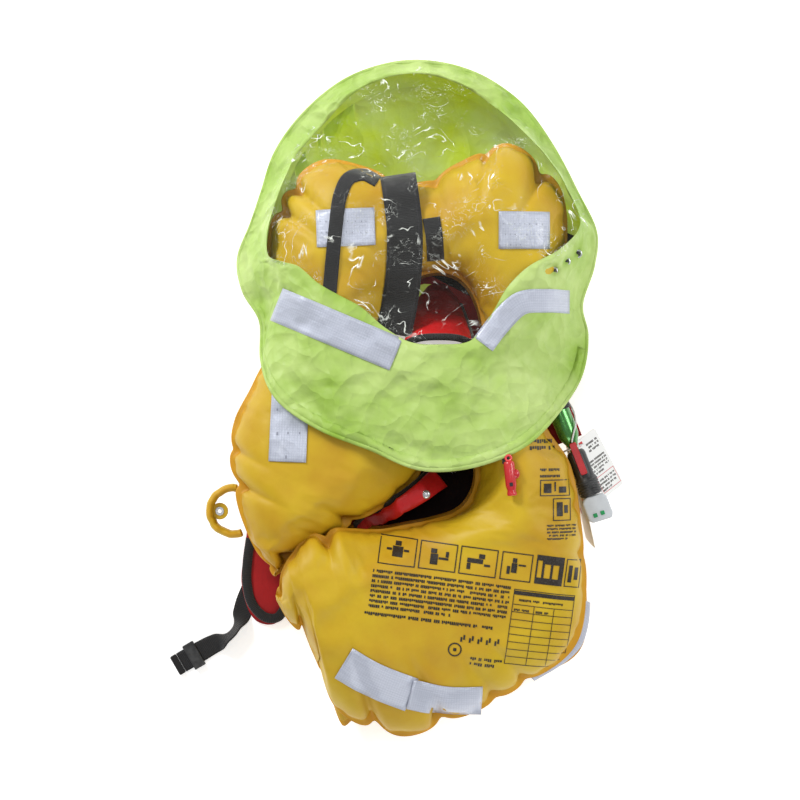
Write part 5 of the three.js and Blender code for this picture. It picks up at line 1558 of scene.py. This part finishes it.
# Four pictures, each an upright figure made of bars, as shares of its frame: head, body and limbs.
FIGURES = (
    [(0.42, 0.68, 0.58, 0.84), (0.36, 0.3, 0.64, 0.66), (0.2, 0.5, 0.34, 0.58), (0.66, 0.5, 0.8, 0.58)],
    [(0.3, 0.6, 0.46, 0.76), (0.3, 0.2, 0.5, 0.58), (0.52, 0.4, 0.78, 0.48), (0.7, 0.5, 0.78, 0.7)],
    [(0.5, 0.62, 0.66, 0.78), (0.2, 0.44, 0.62, 0.6), (0.2, 0.2, 0.3, 0.42), (0.66, 0.36, 0.82, 0.44)],
    [(0.36, 0.64, 0.5, 0.8), (0.34, 0.28, 0.52, 0.62), (0.56, 0.54, 0.8, 0.6), (0.2, 0.22, 0.3, 0.5)],
)
PICTURES = ((0, 48), (52, 48), (104, 48), (157, 40))  # left edge and width of each frame
PICTURE_TALL = 36
INK_LIFT = 0.0006


class JACKET_OT_prints(bpy.types.Operator):
    """Prints generic marks on the lobe and on the right side, with no lettering"""

    bl_idname = "jacket.prints"
    bl_label = "Printed marks"

    def execute(self, context):
        dark = []
        for figure, (left, wide) in zip(FIGURES, PICTURES):
            dark += frame_bars(left, 0, left + wide, PICTURE_TALL, 1.3)
            dark += [(left + wide * a, PICTURE_TALL * b, left + wide * c, PICTURE_TALL * d)
                     for a, b, c, d in figure]
        dark += [(202, 0, 238, 8), (202, 30, 238, 37), (202, 8, 204, 30), (210, 8, 213, 30),
                 (221, 8, 224, 30), (232, 8, 238, 30), (213, 26, 221, 30), (224, 26, 232, 30)]
        dark += frame_bars(241, 0, 262, PICTURE_TALL, 1.2)
        dark += [(245, 6, 250, 28), (253, 10, 258, 26)]
        dark += blocks(8, -4, -56, 174, -5, 3, 0.6)
        dark += blocks(1, -8, -66, 178, -59, 4)
        dark += [(118 + k * 11 + i * 3.4, -86 + i * 3, 120.4 + k * 11 + i * 3.4, -80 + i * 3)
                 for k in range(5) for i in range(2)]
        dark += [(112.6 + 8 * math.cos(a) - 0.9, -97 + 8 * math.sin(a) - 0.9,
                  112.6 + 8 * math.cos(a) + 0.9, -97 + 8 * math.sin(a) + 0.9)
                 for a in np.linspace(0, 2 * math.pi, 30)]
        dark += [(110.6, -99, 114.6, -95)] + blocks(2, 134, -115, 175, -101, 6, 0.8)
        dark += frame_bars(178, -108, 258, -10, 0.9) + [(178, -17, 258, -12)]
        dark += blocks(1, 186, -25, 250, -20, 12)
        dark += [(178, -30 - k * 9.7, 258, -29.2 - k * 9.7) for k in range(8)]
        dark += [(178 + x, -107, 178.8 + x, -30) for x in (28, 54)]
        dark += blocks(1, 181, -38, 203, -33, 14) + blocks(1, 209, -38, 229, -33, 15)
        printed("lobe_marks", dark, (-43, -209), -7.5, "outer_bladder", "ink", INK_LIFT,
                "chamber_fabric")

        side = blocks(2, 152, -65, 192, -48, 21, 0.9)
        side += blocks(1, 165, -92, 196, -86, 22) + blocks(1, 165, -100, 196, -94.5, 23)
        side += frame_bars(165, -124, 205, -103, 1.2)
        side += [(170, -120, 180, -108), (184, -118, 186, -106), (190, -120, 200, -112)]
        side += frame_bars(182, -156, 206, -127, 1.2)
        side += [(187, -150, 195, -132), (197, -146, 202, -136)]
        side += blocks(5, 174, -180, 214, -159, 24, 0.7)
        printed("side_marks", side, (0, 0), 0, "outer_bladder", "ink", INK_LIFT, "chamber_fabric")

        for name, x0, y0, x1, y1 in (
            ("tape_neck_left", -116, 198, -52, 240), ("tape_neck_right", 118, 196, 172, 236),
            ("tape_lobe_left", -172, -76, -140, 14),
        ):
            marks = blocks(3, x0, y0, x1, y1, 33, 0.5, 0.86)[::5]
            printed(f"{name}_marks", marks, (0, 0), 0, name, "tape_ink", INK_LIFT + 0.0001,
                    "reflective_tape")
        return {"FINISHED"}


# ---------------------------------------------------------------- inflator
def prism(name, place, outline, low, high, material, bevel, segments=3):
    """An outline in a place's X and Y drawn out between two heights, with rounded edges."""
    outline = np.array(outline, float)
    rings = np.stack([np.column_stack([outline, np.full(len(outline), z)]) for z in (low, high)])
    piece = tube_mesh(name, place.at(rings), material, smooth=False)
    rounded_edges(piece, bevel, segments, math.radians(25))
    return piece


def rounded_box(x0, y0, x1, y1, radius, steps=6):
    """Outline of a rectangle with round corners: a quarter circle at each corner."""
    arc = np.linspace(0, math.pi / 2, steps)
    corners = ((x1 - radius, y1 - radius, 0), (x0 + radius, y1 - radius, 1),
               (x0 + radius, y0 + radius, 2), (x1 - radius, y0 + radius, 3))
    return [(x + radius * math.cos(a + q * math.pi / 2), y + radius * math.sin(a + q * math.pi / 2))
            for x, y, q in corners for a in arc]


class JACKET_OT_inflator(bpy.types.Operator):
    """Makes the inflator's body, gas cylinder, sensing head, lever, band and flap"""

    bl_idname = "jacket.inflator"
    bl_label = "Inflator"

    def execute(self, context):
        ribs = [(BODY_RADIUS + r, RIB_START + k * RIB_PITCH + h) for k in range(RIB_COUNT)
                for r, h in ((-1.2, 0.0), (-0.3, 0.35), (0, 0.9), (0, 1.9), (-0.3, 2.4), (-1.2, 2.75))]
        profile = [(0, BODY_BASE), (11, BODY_BASE), (13.2, BODY_BASE + 0.5), *ribs,
                   (13.2, RIB_END + 1.5), (BARREL_RADIUS, RIB_END + 4), (BARREL_RADIUS, BODY_TOP - 6),
                   (11.6, BODY_TOP - 2.2), (9.5, BODY_TOP), (6.4, BODY_TOP), (6.4, BODY_TOP - 5),
                   (0, BODY_TOP - 5)]

        def recess(height, angle):
            """The lever's flat groove along the upper side."""
            inside = (height > LEVER_FOOT - 3) & (np.abs(angle - math.pi / 2) < 0.42)
            return np.where(inside, -2.6, 0.0)

        body = turned_mesh("inflator_case", INFLATOR, profile, finish_of("black"), 96, recess)
        rounded_edges(body, 0.0003, 1, math.radians(50))
        keep(body, "jacket", "black_plastic", "inflator_body")
        R, top, end = CYLINDER_RADIUS, CYLINDER_BASE, CYLINDER_END
        shell = [(0, BODY_TOP - 6), (NECK_RADIUS, BODY_TOP - 6), (NECK_RADIUS, top - 3),
                 (NECK_RADIUS + 0.4, top - 1), (R * 0.6, top + 3), (R * 0.82, top + 8),
                 (R * 0.96, top + 13), (R, top + 18), (R, (top + end) / 2), (R, end - 12),
                 (R * 0.97, end - 7), (R * 0.85, end - 2.6), (R * 0.6, end - 0.5), (0, end)]
        bottle = turned_mesh("cylinder_shell", INFLATOR, shell, finish_of("cylinder"), 72)
        subdivided(bottle, 1)
        keep(bottle, "cylinder", "cylinder_paint", "gas_cylinder")
        collar = turned_mesh("cylinder_collar", INFLATOR,
                             [(NECK_RADIUS, top - 5), (8.4, top - 4.6), (8.8, top - 3.6), (8.4, top - 2.4),
                              (NECK_RADIUS, top - 2)], finish_of("steel"), 48)
        keep(collar, "cylinder", "bright_steel")
        band = turned_mesh("cylinder_strap", INFLATOR,
                           [(R + 0.3, BAND_START), (BAND_RADIUS - 0.4, BAND_START),
                            (BAND_RADIUS, BAND_START + 1), (BAND_RADIUS, BAND_START + BAND_WIDTH - 1),
                            (BAND_RADIUS - 0.4, BAND_START + BAND_WIDTH),
                            (R + 0.3, BAND_START + BAND_WIDTH)], finish_of("web"), 56)
        keep(band, "jacket", "webbing", "cylinder_band")
        corners = [(-12.5, 0), (12.5, -2), (14.5, 0), (16.5, 5), (16.5, 28), (13.5, 34), (-9, 36),
                   (-13.5, 34), (-16.5, 30), (-16.5, 4)]
        head = prism("head_case", INFLATOR, [(x, y * 0.94 + 0.6) for x, y in corners], -12.5, 12.5,
                     finish_of("grey"), 0.0022)
        keep(head, "head", "grey_plastic", "sensing_head")
        for side, x in (("left", -6.4), ("right", 3.6)):
            glass = prism(f"sight_{side}", INFLATOR, rounded_box(x - 2.7, 6.3, x + 2.7, 11.7, 0.9),
                          12.2, 13.5, finish_of("sight"), 0.0006)
            keep(glass, "head", "green_sight", f"status_sight_{side}")
        lever = prism("lever_arm", INFLATOR,
                      rounded_box(-4.5, LEVER_FOOT, 4.5, LEVER_END, 2.2), LEVER_FACE, LEVER_FACE + 4,
                      finish_of("red_plastic"), 0.0008)
        keep(lever, "lever", "red_plastic", "manual_lever")
        self.flap()
        dress("manifold_stem", "black", "black_plastic", 0.0004)
        return {"FINISHED"}

    def flap(self):
        """The cover's flap behind the cylinder: a soft sheet with folds and a turned edge."""
        x, y = np.meshgrid(np.linspace(-24, 17, 30), np.linspace(BODY_TOP + 15, CYLINDER_END - 20, 60),
                           indexing="ij")
        edge = np.minimum(np.minimum(x + 24, 17 - x), np.minimum(y - y.min(), y.max() - y))
        z = -BAND_RADIUS - 1.6 + 0.6 * folds(x, y, 70, 18, 1.1, 27, 3) * np.clip(edge / 8, 0, 1)
        grid = INFLATOR.at(np.stack([x, y, z], axis=-1))
        flap = sheet_mesh("red_flap", grid, finish_of("cover"))
        keep(thicken(flap, 0.0016, 0.0), "jacket", "cover_fabric", "cylinder_flap")


# ---------------------------------------------------------------- cards
CARD_WIDE, CARD_EDGE, CARD_HEAD = 46, 5.5, 7
SHORT_CARD, LONG_CARD = 84, 150
CARD_BOW, CARD_CORNER, CARD_DETAIL = 0.7, 3.0, 5
TIE_REACH, TIE_RADIUS = 14, 0.9


def turned_about(points, axis, angle):
    """Points turned about one of the X, Y or Z axes."""
    points = np.array(points, float)
    a, b = {"X": (1, 2), "Y": (2, 0), "Z": (0, 1)}[axis]
    made = points.copy()
    made[..., a] = points[..., a] * math.cos(angle) - points[..., b] * math.sin(angle)
    made[..., b] = points[..., a] * math.sin(angle) + points[..., b] * math.cos(angle)
    return made


class JACKET_OT_cards(bpy.types.Operator):
    """Makes the two service cards, their print and the cord loop that carries them"""

    bl_idname = "jacket.cards"
    bl_label = "Service cards"

    def execute(self, context):
        middle = np.array((0, BODY_TOP + 4, NECK_RADIUS + 0.4 + TIE_RADIUS - TIE_REACH))
        angle = circle(72)
        line = np.stack([TIE_REACH * np.cos(angle), 0 * angle, TIE_REACH * np.sin(angle)], axis=-1)
        line = INFLATOR.at(line + middle)
        loop = sweep("card_tie", np.vstack([line, line[:1]]), TIE_RADIUS * MM, finish_of("cord"), 12)
        keep(loop, "jacket", "white_cord", "card_loop")
        cards = (
            ("front", SHORT_CARD, -math.pi / 4, (0, 0, 0.16), self.front_marks()),
            ("back", LONG_CARD, -math.pi / 2, (0.1, 0.14, 0.32), self.back_marks()),
        )
        for name, tall, around, turn_by, marks in cards:
            body = f"card_{name}"

            def place(points):
                """Card millimetres: X across from the hole, Y up the card, Z off its face."""
                made = np.array(points, float)
                for axis, by in zip("ZYX", reversed(turn_by)):
                    made = turned_about(made, axis, by)
                made = turned_about(made, "Y", -around)
                way = np.array((math.cos(around), 0, math.sin(around))) * TIE_REACH
                return INFLATOR.at(made + middle + way)

            def bow(x, y):
                """How far the card bends off its plane."""
                return (CARD_BOW * np.sin((y - CARD_HEAD) / tall * 2.2)
                        * np.sin((x + CARD_EDGE) / CARD_WIDE * math.pi))

            left, right, top = -CARD_EDGE, CARD_WIDE - CARD_EDGE, CARD_HEAD
            x, y = np.meshgrid(np.linspace(left, right, 24), np.linspace(top - tall, top, 60),
                               indexing="ij")
            down = np.minimum(x - left, right - x)
            pull = np.where(down < CARD_CORNER, CARD_CORNER - np.sqrt(
                np.maximum(CARD_CORNER ** 2 - (CARD_CORNER - down) ** 2, 0)), 0)
            y = np.clip(y, top - tall + pull, top - pull)
            grid = place(np.stack([x, y, bow(x, y)], axis=-1))
            sheet = sheet_mesh(f"card_{name}_sheet", grid, finish_of("card"))
            thicken(sheet, 0.0006, 0.0)
            keep(sheet, body, "printed_card", f"service_card_{name}")
            for kind, bars in marks.items():
                x, y = bar_grids(bars, CARD_DETAIL)
                for side, off in (("face", 0.42), ("back", -0.42)):
                    mark = mesh_of(f"card_{name}_{kind}_{side}",
                                   place(np.stack([x, y, bow(x, y) + off], axis=-1)),
                                   bar_faces(len(bars), CARD_DETAIL), finish_of(kind))
                    keep(mark, body, "printed_card")
        return {"FINISHED"}

    def front_marks(self):
        """Print of the short card, kept to bars and boxes."""
        dark = blocks(3, 10, -16, 36, -2, 51) + blocks(5, -1, -46, 36, -24, 52, 0.6)
        dark += blocks(4, -1, -70, 36, -52, 53, 0.7)
        return {"ink": dark, "red_ink": [(-2, -2, 6, 3), *frame_bars(-2, -72, 38, -49, 0.7)]}

    def back_marks(self):
        """Print of the long card: a few rows of bars, and red and dark marks."""
        dark = blocks(4, 2, -30, 36, -12, 61) + [(14, -74, 20, -66)]
        return {"ink": dark, "red_ink": [(28, -104, 34, -96), (0, -52, 38, -51), (4, -84, 7, -74)]}


# ---------------------------------------------------------------- whistle and fittings
WHISTLE_LENGTH, WHISTLE_RADIUS = 49, 7


class JACKET_OT_whistle(bpy.types.Operator):
    """Makes the red whistle with its side chamber, eye, and a black inset of painted shade for its air slot
    """

    bl_idname = "jacket.whistle"
    bl_label = "Whistle"

    def execute(self, context):
        sizes = context.scene.jacket_sizes
        hinge = joint("whistle_swing")
        place = Place(hinge["pos_m"], (-math.sin(0.1), math.cos(0.1), 0))
        r, tall = WHISTLE_RADIUS, WHISTLE_LENGTH
        place.origin[2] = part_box("whistle")[1].z - r * MM + sizes.whistle_lift
        profile = [(0, -tall + 16), (4.6, -tall + 16), (4.6, -tall + 0.6), (5.2, -tall), (6, -tall + 0.3),
                   (6.2, -tall + 1.2), (6.2, -tall + 4), (5.6, -tall + 5), (5.6, -tall + 8),
                   (6.4, -tall + 10), (r, -tall + 13), (r, -8), (r - 0.8, -5.8), (r - 2, -5), (0, -5)]
        tube = turned_mesh("whistle_tube", place, profile, finish_of("red_plastic"), 64)
        keep(tube, "whistle", "red_plastic", "whistle")
        angle = circle(40)[None, :]
        tilt = np.linspace(0.02, math.pi - 0.02, 24)[:, None]
        lug = np.stack([r + 5.4 * np.sin(tilt) * np.cos(angle), -22 + 6.4 * np.sin(tilt) * np.sin(angle),
                        4.4 * np.cos(tilt) + 0 * angle], axis=-1)
        side = tube_mesh("whistle_side", place.at(lug), finish_of("red_plastic"), flip=True)
        keep(side, "whistle", "red_plastic")
        # Painted shade: a black inset stands for the dark air slot.
        slot = prism("whistle_slot_shade", place, rounded_box(-2.2, -37, 2.2, -32, 0.8), r - 1.6, r + 0.15,
                     finish_of("black"), 0.0002, 1)
        keep(slot, "whistle", "black_plastic")
        eye = place.at([[0, -1, 0]])[0]
        ring_piece = washer("whistle_eye", eye, [(2.2, -1.5), (4.6, -1.5), (5, -1), (5, 1), (4.6, 1.5),
                                                 (2.2, 1.5), (2.2, -1.5)], finish_of("red_plastic"))
        keep(ring_piece, "whistle", "red_plastic")
        neck = prism("whistle_neck", place, [(-2.2, -6), (2.2, -6), (2.2, -3), (-2.2, -3)], -1.4, 1.4,
                     finish_of("red_plastic"), 0.0004, 2)
        keep(neck, "whistle", "red_plastic")
        return {"FINISHED"}


FITTINGS = (  # CAD node, finish, material slot, width of its softened edges
    ("buckle_socket", "black", "black_plastic", 0.0016),
    ("buckle_tongue", "black", "black_plastic", 0.0012),
    ("strap_slider", "black", "black_plastic", 0.0008),
    ("whistle_keeper", "black", "black_plastic", 0.0004),
    ("oral_tube", "black", "black_plastic", 0.0004),
    ("oral_cap", "red_plastic", "red_plastic", 0.0008),
    ("press_stud", "steel", "bright_steel", 0.0005),
    ("eyelet", "steel", "bright_steel", 0.0001),
    ("eyelet_tab", "chamber", "chamber_fabric", 0.0006),
    ("strap_end", "web", "webbing", 0.0014),
)


class JACKET_OT_fittings(bpy.types.Operator):
    """Finishes the buckle, slider, tube, cap, studs and the side loop with its eyelet"""

    bl_idname = "jacket.fittings"
    bl_label = "Fittings"

    def execute(self, context):
        for fitting in FITTINGS:
            dress(*fitting)
        self.side_loop()
        return {"FINISHED"}

    def side_loop(self):
        """The small lobe at the left: a soft rounded band round the eyelet tab.

        Its section is a rounded bar swept along an arc, with a wavy edge."""
        low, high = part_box("side_loop")
        angle = np.linspace(1.4, 5.1, 70)
        middle = np.array((-232, -146.0))
        around = circle(22)
        tall = (high.z - low.z) / MM / 2
        reach = 31.5 + 1.4 * (lattice(angle * 5, angle * 0, 15) - 0.5)
        out = reach[:, None] - 1.5 + 5.2 * np.cos(around)
        up = tall * np.sign(np.sin(around)) * np.abs(np.sin(around)) ** 0.55 * np.ones((70, 1))
        up = up * (0.9 + 0.12 * (lattice(angle * 4, angle * 0 + 2, 16) - 0.5))[:, None]
        rings = np.stack([middle[0] + out * np.cos(angle)[:, None],
                          middle[1] + out * np.sin(angle)[:, None],
                          (low.z + high.z) / 2 / MM + up], axis=-1)
        seam = np.clip(np.abs(up) / tall * 3 - 2.2, 0, 0.8)
        band = tube_mesh("side_band", plan(rings), finish_of("chamber"), cloth_of(rings * MM), seam)
        subdivided(band, 1)
        keep(band, "jacket", "chamber_fabric", "side_loop")


# ---------------------------------------------------------------- panel and running
OPERATORS = (
    JACKET_OT_stage, JACKET_OT_pull_cord, JACKET_OT_chambers, JACKET_OT_tapes, JACKET_OT_harness,
    JACKET_OT_cover, JACKET_OT_hood, JACKET_OT_prints, JACKET_OT_inflator, JACKET_OT_cards,
    JACKET_OT_whistle, JACKET_OT_fittings,
)


class JACKET_PT_panel(bpy.types.Panel):
    """The life jacket's steps and settings"""

    bl_idname = "JACKET_PT_panel"
    bl_label = "Life Jacket"
    bl_space_type = "VIEW_3D"
    bl_region_type = "UI"
    bl_category = "Life Jacket"

    def draw(self, context):
        column = self.layout.column()
        for kind in OPERATORS:
            column.operator(kind.bl_idname)
        for group in (context.scene.jacket_sizes, context.scene.jacket_colours):
            for name in group.__annotations__:
                column.prop(group, name)


CLASSES = (JacketColours, JacketSizes, *OPERATORS, JACKET_PT_panel)


def register():
    for kind in CLASSES:
        bpy.utils.register_class(kind)
    bpy.types.Scene.jacket_colours = PointerProperty(type=JacketColours)
    bpy.types.Scene.jacket_sizes = PointerProperty(type=JacketSizes)


def unregister():
    del bpy.types.Scene.jacket_sizes
    del bpy.types.Scene.jacket_colours
    for kind in reversed(CLASSES):
        bpy.utils.unregister_class(kind)


def main():
    """Registers the add-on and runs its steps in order."""
    register()
    for kind in OPERATORS:
        group, step = kind.bl_idname.split(".")
        if getattr(getattr(bpy.ops, group), step)() != {"FINISHED"}:
            raise RuntimeError(f"{kind.bl_idname} did not finish")


if __name__ == "__main__":
    main()
